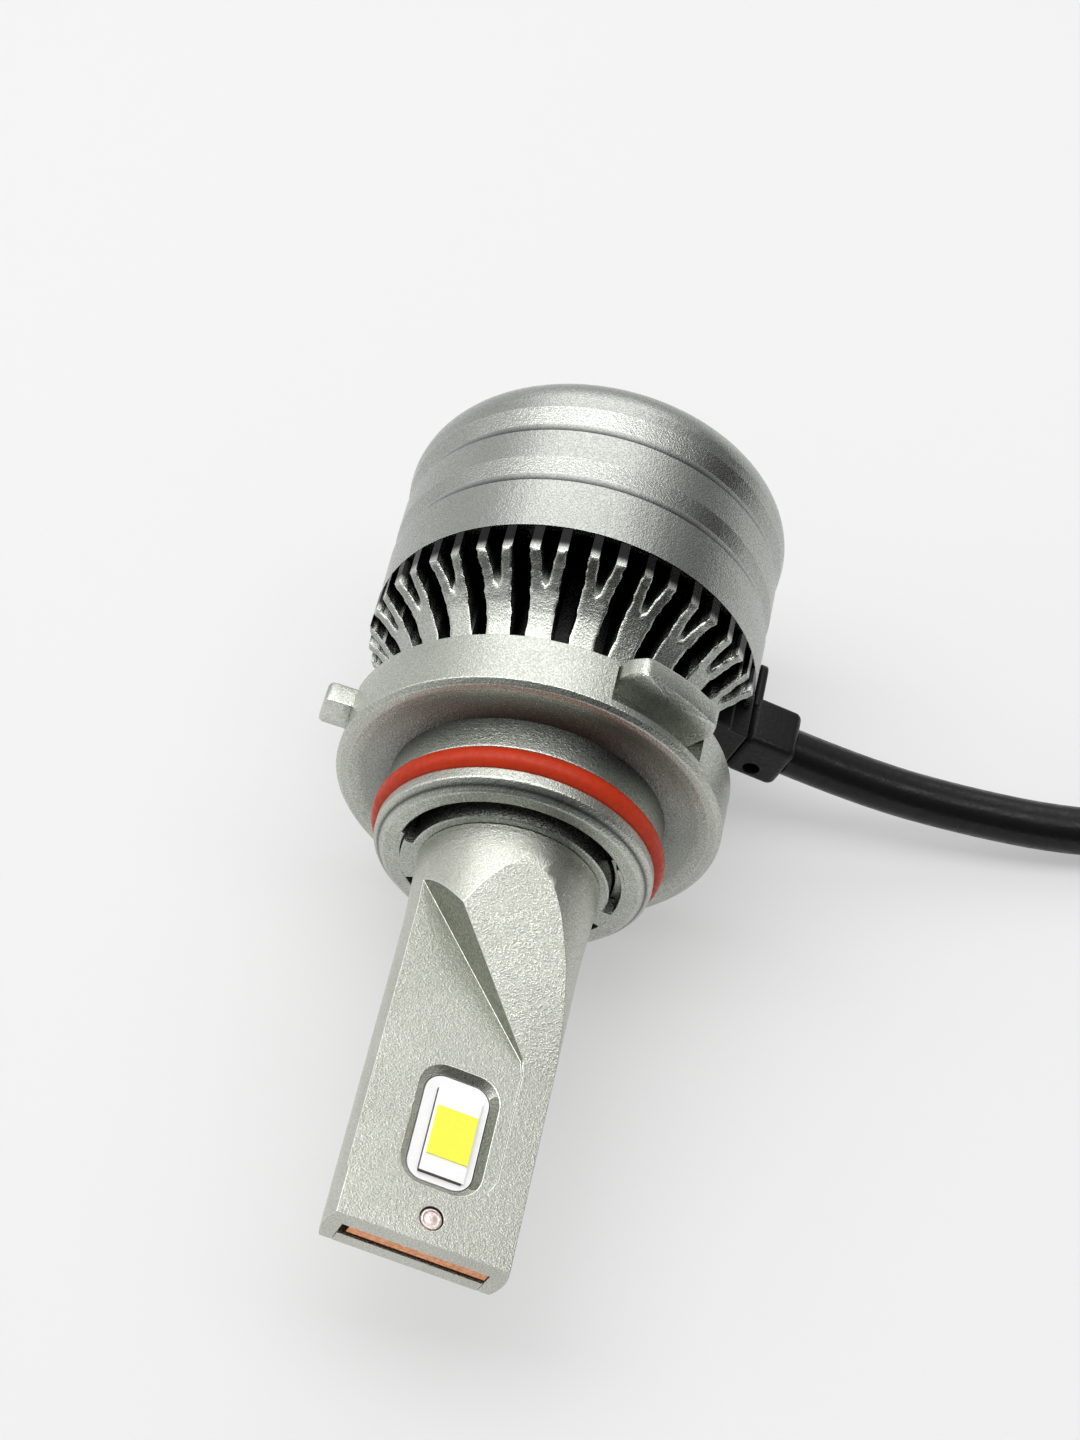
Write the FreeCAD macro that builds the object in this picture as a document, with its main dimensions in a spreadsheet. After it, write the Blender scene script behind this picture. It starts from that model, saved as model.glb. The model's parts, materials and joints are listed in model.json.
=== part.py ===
import FreeCAD, Part
import math
import os
import Sketcher
from FreeCAD import Placement, Rotation, Vector

# LED headlight bulb with a three-lug twist-lock base, a fan-cooled head and a short power cable.
#
# Row frame: the bulb's axis is Y. The tip of the stem points to -Y and the head to +Y, Z is up, and
# the origin is on the axis in the plane of the collar's front land, from which the lamp is located.
# The bulb lies on its side, so the stem is rolled about Y by stem_roll.
#
# Bodies are drawn in the bulb's own frame: z along the axis towards the tip, x across, y up.

# ---------------------------------------------------------------------------------- driving sizes
SIZE_TABLE = [
    # collar (base)
    ("band_radius", 16.15), ("band_depth", 4.8), ("band_chamfer", 0.4), ("land_width", 0.65),
    ("dish_depth", 0.3), ("dish_bevel", 1.1), ("pilot_radius", 11.5), ("pilot_face", 6.7),
    ("lip_width", 1.0), ("lip_front", 5.83), ("lip_face_radius", 10.57),
    ("seal_groove_radius", 10.1), ("seal_groove_width", 2.03), ("seal_section", 2.0),
    ("collar_bore", 9.1), ("entry_radius", 9.34), ("ledge_radius", 8.4), ("ledge_front", 5.7),
    ("ledge_depth", 2.2), ("bush_cavity_radius", 9.4),
    ("lug_radius", 18.4), ("lug_depth", 1.9), ("lug_root_radius", 14.0), ("lug_width", 3.4),
    ("lug_corner", 0.6), ("relief_radius", 14.6), ("relief_rim", 1.0), ("relief_margin", 0.95),
    ("lug_angle_left", 165.0), ("lug_angle_wide", 48.5), ("lug_angle_low", 290.0),
    ("lug_low_radius", 18.1), ("wide_lug_half_angle", 14.5), ("narrow_lug_half_angle", 5.3),
    ("wide_lug_bevel", 1.4), ("entry_top_angle", 89.0), ("entry_top_half", 71.3),
    ("entry_low_angle", 262.0), ("entry_low_half", 67.0),
    # neck, hub and fins (heat sink)
    ("neck_radius", 8.2), ("neck_front", 7.3), ("lock_lug_radius", 8.97), ("lock_lug_length", 1.5),
    ("lock_lug_left", 177.4), ("lock_lug_left_half", 16.8),
    ("lock_lug_right", 335.0), ("lock_lug_right_half", 7.0),
    ("hub_radius", 10.6), ("hub_gap", 0.15), ("hub_length", 16.05), ("wire_bore", 3.0),
    ("fin_count", 22), ("fins_left_out", 3), ("first_fin_angle", 11.0),
    ("fin_root_radius", 9.6), ("fin_half_root", 0.9), ("fin_half_neck", 0.95),
    ("fin_neck_length", 3.9), ("prong_length", 2.3), ("fin_half_fork", 1.1),
    ("fin_half_tip", 1.55), ("prong_thickness", 0.8), ("shell_seat", 0.1),
    ("fork_floor", 0.3), ("fin_base_radius", 11.3), ("fin_shoulder", 13.6), ("bell_radius", 12.0),
    ("fin_length", 15.5), ("pillar_thread", 5.0), ("bush_clearance", 0.1),
    # stem
    ("stem_radius", 7.2), ("stem_tip", 41.2), ("stem_neck_radius", 7.5), ("stem_neck_end", 14.0),
    ("stem_half_height", 2.3), ("stem_root_radius", 6.5), ("stem_root_length", 15.0),
    ("stem_roll", 20.7), ("fit_clearance", 0.03),
    ("crease_position", 24.55), ("facet_rise", 5.3), ("facet_run", 14.95), ("recess_depth", 0.3),
    ("recess_apex", 11.4), ("recess_corner_x", 4.0), ("recess_corner_z", 24.0),
    ("recess_side_x", 4.35), ("recess_turn_z", 34.4), ("recess_foot_x", 1.1), ("recess_foot_z", 36.9),
    ("recess_foot_round", 3.2),
    ("slot_width", 11.7), ("slot_top", 0.6), ("slot_depth", 1.55), ("slot_length", 38.0),
    ("channel_start", 24.7),
    ("window_width", 5.35), ("window_length", 9.0), ("window_corner", 1.5), ("window_bevel", 0.6),
    ("window_position", 31.6), ("rivet_position", 39.2), ("rivet_radius", 0.84),
    ("rivet_hole_radius", 0.95), ("rivet_offset", 0.15), ("copper_offset", 0.25),
    ("copper_width", 11.0), ("copper_thickness", 1.1), ("copper_length", 33.0), ("copper_setback", 0.1),
    ("board_clearance", 0.08), ("board_thickness", 0.8), ("plate_gap", 0.1), ("plate_thickness", 1.35),
    ("package_width", 3.6), ("package_length", 7.0), ("package_height", 0.25), ("package_offset", 0.2),
    ("phosphor_width", 3.3), ("phosphor_length", 4.1), ("phosphor_height", 0.12),
    ("phosphor_offset", 0.3), ("light_slide", 0.27),
    # head shell
    ("shell_front", 16.2), ("shell_radius", 16.5), ("shell_wall", 0.55), ("rear_growth", 0.3),
    ("groove_one", 21.1), ("groove_two", 26.75),
    ("groove_step", 0.32), ("groove_flat", 1.1), ("groove_bevel", 1.55),
    ("rear_round", 3.8), ("shell_rear", 34.2), ("rear_wall", 1.6),
    ("rear_inner_round", 2.2), ("barrel_growth", 0.1), ("rear_margin", 0.4),
    ("notch_half_width", 2.8), ("notch_depth", 2.3),
    # cable outlet
    ("outlet_angle", -21.7), ("outlet_front", 13.4), ("outlet_inner_width", 6.0),
    ("outlet_inner_length", 4.8), ("clamp_width", 5.3), ("clamp_length", 4.8), ("clamp_gap", 0.15),
    ("clamp_depth", 4.7), ("clamp_hole_radius", 0.75), ("clamp_tab_length", 3.9),
    ("clamp_tab_thickness", 0.85), ("clamp_corner", 0.45), ("clamp_hole_inset", 2.1),
    ("clamp_hole_rise", 1.5), ("clamp_hole_depth", 2.5), ("clamp_tab_width", 3.4),
    ("cable_radius", 2.1),
    # fan and driver
    ("board_inset", 0.5), ("driver_board_thickness", 1.2),
    ("fan_front", 25.6), ("fan_rear", 32.6), ("fan_ring_wall", 0.8),
    ("fan_flange_thickness", 0.9), ("motor_plate_radius", 5.8),
    ("motor_plate_thickness", 1.4), ("spoke_width", 1.6), ("spoke_count", 3),
    ("screw_inset", 3.3), ("screw_radius", 0.8), ("screw_head_radius", 1.25), ("ear_radius", 1.65),
    ("screw_start_angle", 30.0), ("screw_length", 11.5), ("screw_sink", 0.9), ("screw_head_length", 0.8),
    ("screw_slot", 0.4),
    ("rotor_gap", 0.7), ("rotor_rear", 32.9), ("rotor_hub_radius", 5.8), ("rotor_wall", 0.7),
    ("blade_count", 9), ("blade_gap", 0.7), ("blade_thickness", 0.7), ("blade_chord", 4.6),
    ("blade_root_pitch", 46.0), ("blade_tip_pitch", 33.0),
    ("shaft_radius", 0.75), ("shaft_clearance", 0.05), ("bearing_radius", 1.4), ("boss_radius", 1.9),
    ("boss_length", 4.4), ("magnet_thickness", 0.9), ("yoke_thickness", 0.4), ("stator_radius", 3.6),
    ("stator_core", 0.5), ("stator_length", 2.8), ("part_height", 2.8), ("chip_height", 1.4),
    ("part_inset", 6.55), ("inductor_radius", 2.6), ("inductor_angle", 35.0),
    ("capacitor_radius", 1.8), ("capacitor_angle", 186.0), ("capacitor_spread", 37.0),
    ("chip_length", 4.9), ("chip_width", 3.9), ("chip_angle", 313.0),
    ("wire_spacing", 1.6), ("wire_radius", 0.5), ("wire_way", 1.6),
    # plug on the cable
    ("plug_width", 14.0), ("plug_height", 10.9), ("plug_length", 26.0), ("plug_wall", 0.75),
    ("plug_cavity", 17.0), ("plug_corner", 1.6),
    ("latch_width", 4.0), ("latch_height", 1.4), ("latch_inset", 8.0),
    ("blade_contact_width", 2.8), ("blade_contact_thickness", 0.8),
    ("blade_contact_length", 12.0), ("contact_spacing", 4.4), ("boot_length", 8.0), ("boot_radius", 3.4),
]

doc = FreeCAD.newDocument("headlight_bulb")
sheet = doc.addObject("Spreadsheet::Sheet", "Sizes")
for row, (alias, value) in enumerate(SIZE_TABLE, start=1):
    sheet.set(f"A{row}", alias.replace("_", " "))
    sheet.set(f"B{row}", str(value))
    sheet.setAlias(f"B{row}", alias)
doc.recompute()


class Size(float):
    """A number that remembers the spreadsheet expression that it was worked out from."""

    def __new__(cls, value, text=None):
        self = float.__new__(cls, value)
        self.text = text if text is not None else f"{float(value):.9g}"
        return self

    def __add__(self, other):
        return Size(float(self) + float(other), f"({self.text} + {written(other)})")

    def __radd__(self, other):
        return Size(float(other) + float(self), f"({written(other)} + {self.text})")

    def __sub__(self, other):
        return Size(float(self) - float(other), f"({self.text} - {written(other)})")

    def __rsub__(self, other):
        return Size(float(other) - float(self), f"({written(other)} - {self.text})")

    def __mul__(self, other):
        return Size(float(self) * float(other), f"({self.text} * {written(other)})")

    __rmul__ = __mul__

    def __truediv__(self, other):
        return Size(float(self) / float(other), f"({self.text} / {written(other)})")

    def __neg__(self):
        return Size(-float(self), f"(-1 * {self.text})")


def written(number):
    """The expression of a Size, or the digits of a plain number."""
    return number.text if isinstance(number, Size) else f"{float(number):.9g}"


class Sheet:
    """Reads a named size from the spreadsheet as a Size."""

    def __getattr__(self, alias):
        return Size(float(sheet.get(alias)), f"Sizes.{alias}")


s = Sheet()


def bind(thing, path, size):
    """Sets a property from a size, and ties it to the spreadsheet where the size has an expression."""
    if isinstance(size, Size):
        thing.setExpression(path, size.text)


# ----------------------------------------------------------------------------------- small helpers
UPRIGHT = Rotation(Vector(1, 0, 0), 90)


def turned(angle):
    """The bulb frame laid along Y, then turned about the bulb's axis."""
    return Placement(Vector(0, 0, 0), Rotation(Vector(0, 1, 0), float(angle)) * UPRIGHT)


pieces = []


def new_body(label, placement):
    """A PartDesign body that is one piece of the bulb."""
    body = doc.addObject("PartDesign::Body", label)
    body.Label = label
    body.Placement = placement
    pieces.append(body)
    return body


def plane_of(body, role):
    return next(f for f in body.Origin.OriginFeatures if f.Role == role)


def new_sketch(body, role="XZ_Plane", offset=0.0, turn=0.0):
    """A sketch on one of the body's own origin planes, moved along its normal and turned in it."""
    sketch = body.newObject("Sketcher::SketchObject", f"{body.Name}_sketch")
    sketch.AttachmentSupport = [(plane_of(body, role), "")]
    sketch.MapMode = "FlatFace"
    sketch.AttachmentOffset = Placement(Vector(0, 0, float(offset)), Rotation(Vector(0, 0, 1), float(turn)))
    bind(sketch, "AttachmentOffset.Base.z", offset)
    if isinstance(turn, Size):
        bind(sketch, "AttachmentOffset.Rotation.Angle", turn)
    return sketch


def hold(sketch, kind, geometry, point, value):
    """A distance of a point from the sketch's origin, tied to its size."""
    index = sketch.addConstraint(Sketcher.Constraint(kind, -1, 1, geometry, point, float(value)))
    bind(sketch, f"Constraints[{index}]", value)


def outline(sketch, points):
    """A closed outline of straight lines; an entry (x, y, radius) ends an arc of that radius."""
    count = len(points)
    base = sketch.GeometryCount
    for i, start in enumerate(points):
        end = points[(i + 1) % count]
        a = Vector(float(start[0]), float(start[1]), 0)
        b = Vector(float(end[0]), float(end[1]), 0)
        if len(end) == 2:
            sketch.addGeometry(Part.LineSegment(a, b), False)
        else:
            sketch.addGeometry(arc_between(a, b, float(end[2])), False)
    for i, start in enumerate(points):
        following = (i + 1) % count
        first, last = ends_of(points[following])
        next_first = ends_of(points[(following + 1) % count])[0]
        joint = Sketcher.Constraint("Coincident", base + i, last, base + following, next_first)
        sketch.addConstraint(joint)
        hold(sketch, "DistanceX", base + i, first, start[0])
        hold(sketch, "DistanceY", base + i, first, start[1])
        if len(points[following]) == 3:
            radius = abs_size(points[following][2])
            index = sketch.addConstraint(Sketcher.Constraint("Radius", base + i, float(radius)))
            bind(sketch, f"Constraints[{index}]", radius)


def abs_size(size):
    return -size if float(size) < 0 else size


def arc_between(a, b, radius):
    """The short arc from a to b. A positive radius turns left on the way, a negative one right."""
    chord = b - a
    across = Vector(-chord.y, chord.x, 0).normalize()
    reach = math.sqrt(radius * radius - chord.Length ** 2 / 4)
    centre = (a + b) * 0.5 + across * math.copysign(reach, radius)
    start = math.atan2(a.y - centre.y, a.x - centre.x)
    finish = math.atan2(b.y - centre.y, b.x - centre.x)
    circle = Part.Circle(centre, Vector(0, 0, 1), abs(radius))
    if radius > 0:
        return Part.ArcOfCircle(circle, start, finish)
    return Part.ArcOfCircle(circle, finish, start)


def ends_of(end):
    """Which ends of an edge are its first and last along the outline: a right turn runs backwards."""
    backwards = len(end) == 3 and float(end[2]) < 0
    return (2, 1) if backwards else (1, 2)


def circle(sketch, x, y, radius):
    centre = Vector(float(x), float(y), 0)
    index = sketch.addGeometry(Part.Circle(centre, Vector(0, 0, 1), float(radius)), False)
    hold(sketch, "DistanceX", index, 3, x)
    hold(sketch, "DistanceY", index, 3, y)
    at = sketch.addConstraint(Sketcher.Constraint("Radius", index, float(radius)))
    bind(sketch, f"Constraints[{at}]", radius)


def rectangle(sketch, width, height, x=0.0, y=0.0):
    """A rectangle about the point (x, y)."""
    half_width = width / 2
    half_height = height / 2
    outline(sketch, [(x - half_width, y - half_height), (x + half_width, y - half_height),
                     (x + half_width, y + half_height), (x - half_width, y + half_height)])


def sector(sketch, inner, outer, half_angle):
    """A ring sector about the sketch's x axis: two arcs about the axis and two radii."""
    reach = math.radians(float(half_angle))
    for radius in (inner, outer):
        ring = Part.Circle(Vector(0, 0, 0), Vector(0, 0, 1), float(radius))
        sketch.addGeometry(Part.ArcOfCircle(ring, -reach, reach), False)
    for angle in (-reach, reach):
        direction = Vector(math.cos(angle), math.sin(angle), 0)
        sketch.addGeometry(Part.LineSegment(direction * float(inner), direction * float(outer)), False)
    for arc, radius in ((0, inner), (1, outer)):
        sketch.addConstraint(Sketcher.Constraint("Coincident", arc, 3, -1, 1))
        index = sketch.addConstraint(Sketcher.Constraint("Radius", arc, float(radius)))
        bind(sketch, f"Constraints[{index}]", radius)
    for line, end in ((2, 1), (3, 2)):
        sketch.addConstraint(Sketcher.Constraint("Coincident", line, 1, 0, end))
        sketch.addConstraint(Sketcher.Constraint("Coincident", line, 2, 1, end))
    for line, angle in ((2, -half_angle), (3, half_angle)):
        index = sketch.addConstraint(Sketcher.Constraint("Angle", line, math.radians(float(angle))))
        bind(sketch, f"Constraints[{index}]", angle)


def revolve(body, sketch, kind="PartDesign::Revolution"):
    feature = body.newObject(kind, f"{body.Name}_turned")
    feature.Profile = sketch
    feature.ReferenceAxis = (sketch, ["V_Axis"])
    feature.Angle = 360
    return feature


def pad(body, sketch, length, reverse=False):
    feature = body.newObject("PartDesign::Pad", f"{body.Name}_pad")
    feature.Profile = sketch
    feature.Length = float(length)
    feature.Reversed = reverse
    bind(feature, "Length", length)
    return feature


def pocket(body, sketch, length=None, reverse=False, both=False):
    """Cuts against the sketch's normal, or along it where reverse is set; with no length, through."""
    doc.recompute()
    before = body.Shape.Volume
    feature = body.newObject("PartDesign::Pocket", f"{body.Name}_pocket")
    feature.Profile = sketch
    feature.Reversed = reverse
    feature.Midplane = both
    if length is None:
        feature.Type = 1
    else:
        feature.Length = float(length)
        bind(feature, "Length", length)
    doc.recompute()
    if body.Shape.Volume >= before - 1e-6:
        raise RuntimeError(f"{feature.Name} cuts nothing")
    return feature


def pattern(body, originals, count, angle=360.0):
    """Repeats features about the bulb's axis."""
    feature = body.newObject("PartDesign::PolarPattern", f"{body.Name}_pattern")
    feature.Originals = originals
    feature.Axis = (plane_of(body, "Z_Axis"), [""])
    feature.Angle = float(angle)
    feature.Occurrences = int(count)
    bind(feature, "Angle", angle)
    bind(feature, "Occurrences", count)
    body.Tip = feature
    return feature


def edges_where(body, test):
    """Names of the edges of the body's tip that pass a test of their middle point."""
    doc.recompute()
    names = []
    for index, edge in enumerate(body.Tip.Shape.Edges, start=1):
        middle = edge.valueAt((edge.FirstParameter + edge.LastParameter) / 2)
        if test(edge, middle):
            names.append(f"Edge{index}")
    return names


def finish_edges(body, kind, size, test):
    """A Fillet or Chamfer on the edges that pass the test."""
    names = edges_where(body, test)
    if not names:
        raise RuntimeError(f"no edge of {body.Label} to finish")
    base = body.Tip
    feature = body.newObject(f"PartDesign::{kind}", f"{body.Name}_{kind.lower()}")
    feature.Base = (base, names)
    path = "Radius" if kind == "Fillet" else "Size"
    setattr(feature, path, float(size))
    bind(feature, path, size)
    return feature


def is_line_along(edge, axis):
    """Whether a straight edge runs along a direction."""
    if not isinstance(edge.Curve, Part.Line):
        return False
    return abs(abs(edge.tangentAt(edge.FirstParameter).dot(axis)) - 1) < 1e-6


ALONG_X = Vector(1, 0, 0)
ALONG_Y = Vector(0, 1, 0)
ALONG_Z = Vector(0, 0, 1)


def primitive(kind, name, placement, **sizes):
    """A Part primitive whose properties are tied to sizes."""
    thing = doc.addObject(f"Part::{kind}", name)
    thing.Placement = placement
    for path, size in sizes.items():
        setattr(thing, path, float(size))
        bind(thing, path, size)
    return thing


# radii that follow the shell, so that the head's pieces keep together
shell_inner = s.shell_radius - s.shell_wall
fin_tip = s.shell_radius
fin_fork = fin_tip - s.prong_length
fin_neck = fin_tip - s.fin_neck_length
screw_circle = shell_inner - s.screw_inset
ring_outer = screw_circle - s.ear_radius + 0.15
ring_inner = ring_outer - s.fan_ring_wall
clamp_inner = s.shell_radius + s.clamp_gap
clamp_outer = clamp_inner + s.clamp_depth
part_circle = screw_circle - s.part_inset
board_outer = screw_circle - s.ear_radius - s.board_inset
blade_tip = ring_inner - s.blade_gap

# how far a form runs into the one that it joins, and how far a cut runs past the piece
OVERLAP = 0.5
PAST = 1.0


# ------------------------------------------------------------------------------------ the collar
def base_collar():
    """The twist-lock base: a turned flange and pilot with three lugs outside and a bayonet ring inside."""
    body = new_body("base_collar", turned(0))
    back = -s.band_depth
    land_inner = s.band_radius - s.band_chamfer - s.land_width
    ledge_back = s.ledge_front - s.ledge_depth
    groove_back = s.lip_front - s.lip_width - s.seal_groove_width
    profile = new_sketch(body)
    outline(profile, [
        (s.collar_bore, s.pilot_face), (s.collar_bore, s.ledge_front),
        (s.ledge_radius, s.ledge_front), (s.ledge_radius, ledge_back),
        (s.bush_cavity_radius, ledge_back), (s.bush_cavity_radius, back),
        (s.band_radius, back), (s.band_radius, -s.band_chamfer),
        (s.band_radius - s.band_chamfer, 0), (land_inner, 0),
        (land_inner - s.dish_bevel, -s.dish_depth),
        (s.pilot_radius + s.dish_bevel, -s.dish_depth), (s.pilot_radius, 0),
        (s.pilot_radius, groove_back), (s.seal_groove_radius, groove_back),
        (s.seal_groove_radius, s.lip_front - s.lip_width),
        (s.pilot_radius, s.lip_front - s.lip_width), (s.pilot_radius, s.lip_front),
        (s.lip_face_radius, s.pilot_face),
    ])
    revolve(body, profile)
    lugs = [(s.lug_angle_wide, s.wide_lug_half_angle), (s.lug_angle_left, s.narrow_lug_half_angle),
            (s.lug_angle_low, s.narrow_lug_half_angle)]
    for angle, half in lugs:
        relief = new_sketch(body, "XY_Plane", -s.relief_rim, angle)
        sector(relief, s.relief_radius, s.band_radius + PAST, half + s.relief_margin * 3)
        pocket(body, relief, s.band_depth - s.relief_rim)
    entries = [(s.entry_top_angle, s.entry_top_half), (s.entry_low_angle, s.entry_low_half)]
    for angle, half in entries:
        entry = new_sketch(body, "XY_Plane", s.pilot_face, angle)
        sector(entry, s.ledge_radius - PAST, s.entry_radius, half)
        pocket(body, entry, s.pilot_face - ledge_back)
    lug_front = s.lug_depth - s.band_depth
    for angle, radius in ((s.lug_angle_left, s.lug_radius), (s.lug_angle_low, s.lug_low_radius)):
        narrow = new_sketch(body, "XY_Plane", lug_front, angle)
        half = s.lug_width / 2
        outline(narrow, [
            (s.lug_root_radius, -half), (radius - s.lug_corner, -half), (radius, s.lug_corner - half),
            (radius, half - s.lug_corner), (radius - s.lug_corner, half), (s.lug_root_radius, half),
        ])
        pad(body, narrow, s.lug_depth, reverse=True)
    wide = new_sketch(body, "XY_Plane", lug_front, s.lug_angle_wide)
    reach = math.radians(float(s.wide_lug_half_angle))
    half_chord = s.lug_radius * Size(math.sin(reach), "sin(Sizes.wide_lug_half_angle * 1 deg)")
    shoulder = s.lug_radius * Size(math.cos(reach), "cos(Sizes.wide_lug_half_angle * 1 deg)")
    outline(wide, [
        (s.lug_root_radius - 1, -half_chord), (shoulder - s.wide_lug_bevel, -half_chord),
        (shoulder, s.wide_lug_bevel / 2 - half_chord),
        (shoulder, half_chord - s.wide_lug_bevel / 2, s.lug_radius),
        (shoulder - s.wide_lug_bevel, half_chord), (s.lug_root_radius - 1, half_chord),
    ])
    pad(body, wide, s.lug_depth, reverse=True)


def base_seal_ring():
    """The silicone ring that seals the collar's pilot in the lamp."""
    centre = s.lip_front - s.lip_width - s.seal_groove_width / 2
    place = Placement(Vector(0, -float(centre), 0), UPRIGHT)
    section = s.seal_section / 2
    ring = primitive("Torus", "base_seal_ring", place, Radius1=s.seal_groove_radius + section + 0.03,
                     Radius2=section)
    bind(ring, "Placement.Base.y", -centre)
    ring.Label = "base_seal_ring"
    pieces.append(ring)


# ---------------------------------------------------------------------------------- the heat sink
def heat_sink():
    """Neck, hub and forked cooling fins in one casting, with the bayonet lugs that hold the collar."""
    body = new_body("heat_sink", turned(0))
    hub_front = -s.band_depth - s.hub_gap
    hub_back = hub_front - s.hub_length
    bore = s.stem_root_radius + s.fit_clearance
    bore_end = s.neck_front - s.stem_root_length
    profile = new_sketch(body)
    outline(profile, [
        (bore, s.neck_front), (bore, bore_end), (s.wire_bore, bore_end), (s.wire_bore, hub_back),
        (s.hub_radius, hub_back), (s.hub_radius, hub_front), (s.neck_radius, hub_front),
        (s.neck_radius, s.neck_front),
    ])
    revolve(body, profile)
    forked_fins(body, hub_front)
    locks = [(s.lock_lug_left, s.lock_lug_left_half), (s.lock_lug_right, s.lock_lug_right_half)]
    for angle, half in locks:
        lug = new_sketch(body, "XY_Plane", s.neck_front, angle)
        sector(lug, s.neck_radius - OVERLAP, s.lock_lug_radius, half)
        pad(body, lug, s.lock_lug_length, reverse=True)
    pillar = new_sketch(body, "XY_Plane", -s.fan_front, s.screw_start_angle)
    circle(pillar, screw_circle, 0, s.ear_radius)
    posts = pad(body, pillar, s.fan_front - s.shell_front - 1.2)
    pattern(body, [posts], 3)
    thread = new_sketch(body, "XY_Plane", -s.fan_front, s.screw_start_angle)
    circle(thread, screw_circle, 0, s.screw_radius + s.fit_clearance)
    holes = pocket(body, thread, s.pillar_thread, reverse=True)
    pattern(body, [holes], 3)


def forked_fins(body, hub_front):
    """Fins that split into two prongs, cut to a bell from the collar's edge out to the shell."""
    fin = new_sketch(body, "XY_Plane", hub_front - 0.05, s.first_fin_angle)
    fork = s.fin_half_tip - s.prong_thickness
    outline(fin, [
        (s.fin_root_radius, -s.fin_half_root), (fin_neck, -s.fin_half_neck),
        (fin_fork, -s.fin_half_fork), (fin_tip, -s.fin_half_tip),
        (fin_tip, -fork), (fin_fork + s.fork_floor, -s.fork_floor),
        (fin_fork + s.fork_floor, s.fork_floor, -s.fork_floor - 0.01), (fin_tip, fork),
        (fin_tip, s.fin_half_tip), (fin_fork, s.fin_half_fork),
        (fin_neck, s.fin_half_neck), (s.fin_root_radius, s.fin_half_root),
    ])
    first = pad(body, fin, s.fin_length, reverse=True)
    present = s.fin_count - s.fins_left_out
    pattern(body, [first], present, (present - 1) * 360 / s.fin_count)
    bell = new_sketch(body)
    clear = fin_tip + PAST
    outline(bell, [
        (s.fin_base_radius, hub_front), (fin_tip, -s.fin_shoulder, s.bell_radius),
        (clear, -s.fin_shoulder), (clear, hub_front + PAST), (s.fin_base_radius, hub_front + PAST),
    ])
    revolve(body, bell, "PartDesign::Groove")
    seat = new_sketch(body)
    outline(seat, [
        (shell_inner - s.shell_seat, -s.shell_front + s.shell_seat),
        (shell_inner - s.shell_seat, -s.fan_front - PAST), (clear, -s.fan_front - PAST),
        (clear, -s.shell_front + s.shell_seat),
    ])
    revolve(body, seat, "PartDesign::Groove")


def neck_bush():
    """The rubber sleeve round the neck that takes up the collar's play."""
    body = new_body("neck_bush", turned(0))
    profile = new_sketch(body)
    inner = s.neck_radius + s.fit_clearance
    outer = s.bush_cavity_radius - s.bush_clearance
    back = -s.band_depth - s.hub_gap
    front = s.ledge_front - s.ledge_depth - s.bush_clearance
    outline(profile, [(inner, back), (outer, back), (outer, front), (inner, front)])
    revolve(body, profile)


# --------------------------------------------------------------------------------------- the stem
def across(x, z, side=0):
    """A frame on the stem whose own z axis leaves the face at right angles, at a place along it."""
    on_face = Placement(Vector(float(x), 0, float(z)), Rotation(Vector(1, 0, 0), -90))
    return turned(s.stem_roll + side).multiply(on_face)


def stem_body():
    """The post that carries the light sources: a bar with two flats, facets and recessed faces."""
    body = new_body("stem_body", turned(s.stem_roll))
    root_end = s.neck_front - s.stem_root_length + 0.3
    shoulder = s.neck_front + 0.05
    profile = new_sketch(body)
    outline(profile, [
        (0, root_end), (s.stem_root_radius, root_end), (s.stem_root_radius, shoulder),
        (s.stem_neck_radius, shoulder), (s.stem_neck_radius, s.neck_front + 0.6),
        (s.stem_radius, s.stem_neck_end), (s.stem_radius, s.stem_tip), (0, s.stem_tip),
    ])
    revolve(body, profile)
    clear = s.stem_neck_radius + PAST
    side = new_sketch(body, "YZ_Plane")
    outline(side, [
        (s.stem_half_height + s.facet_rise, s.crease_position - s.facet_run),
        (s.stem_half_height, s.crease_position), (s.stem_half_height, s.stem_tip + PAST),
        (clear, s.stem_tip + PAST), (clear, s.crease_position - s.facet_run),
    ])
    facet = pocket(body, side, both=True)
    pattern(body, [facet], 2)
    recess = new_sketch(body, "XZ_Plane", s.recess_depth - s.stem_half_height)
    outline(recess, [
        (-clear, s.recess_apex), (-s.stem_radius, s.recess_apex),
        (s.recess_corner_x, s.recess_corner_z), (s.recess_side_x, s.recess_corner_z + 1.2),
        (s.recess_side_x, s.recess_turn_z), (s.recess_foot_x, s.recess_foot_z, s.recess_foot_round),
        (-clear, s.recess_foot_z + 0.4),
    ])
    pocket(body, recess)
    slot = new_sketch(body, "XY_Plane", s.stem_tip)
    rectangle(slot, s.slot_width, s.slot_depth, 0.0, s.slot_top - s.slot_depth / 2)
    pocket(body, slot, s.slot_length)
    channel = new_sketch(body, "XY_Plane", s.stem_tip)
    depth = s.stem_half_height + PAST
    rectangle(channel, s.slot_width, depth, 0.0, s.slot_top - s.slot_depth - depth / 2 + 0.01)
    pocket(body, channel, s.stem_tip - s.channel_start)
    way = new_sketch(body, "XY_Plane", root_end)
    circle(way, 0, 0, s.wire_way)
    pocket(body, way, s.stem_tip - s.slot_length - root_end + OVERLAP, reverse=True)
    light_window(body, s.stem_half_height - s.recess_depth, True)
    hole = new_sketch(body)
    circle(hole, s.rivet_offset, s.rivet_position, s.rivet_hole_radius)
    pocket(body, hole, both=True)


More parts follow.
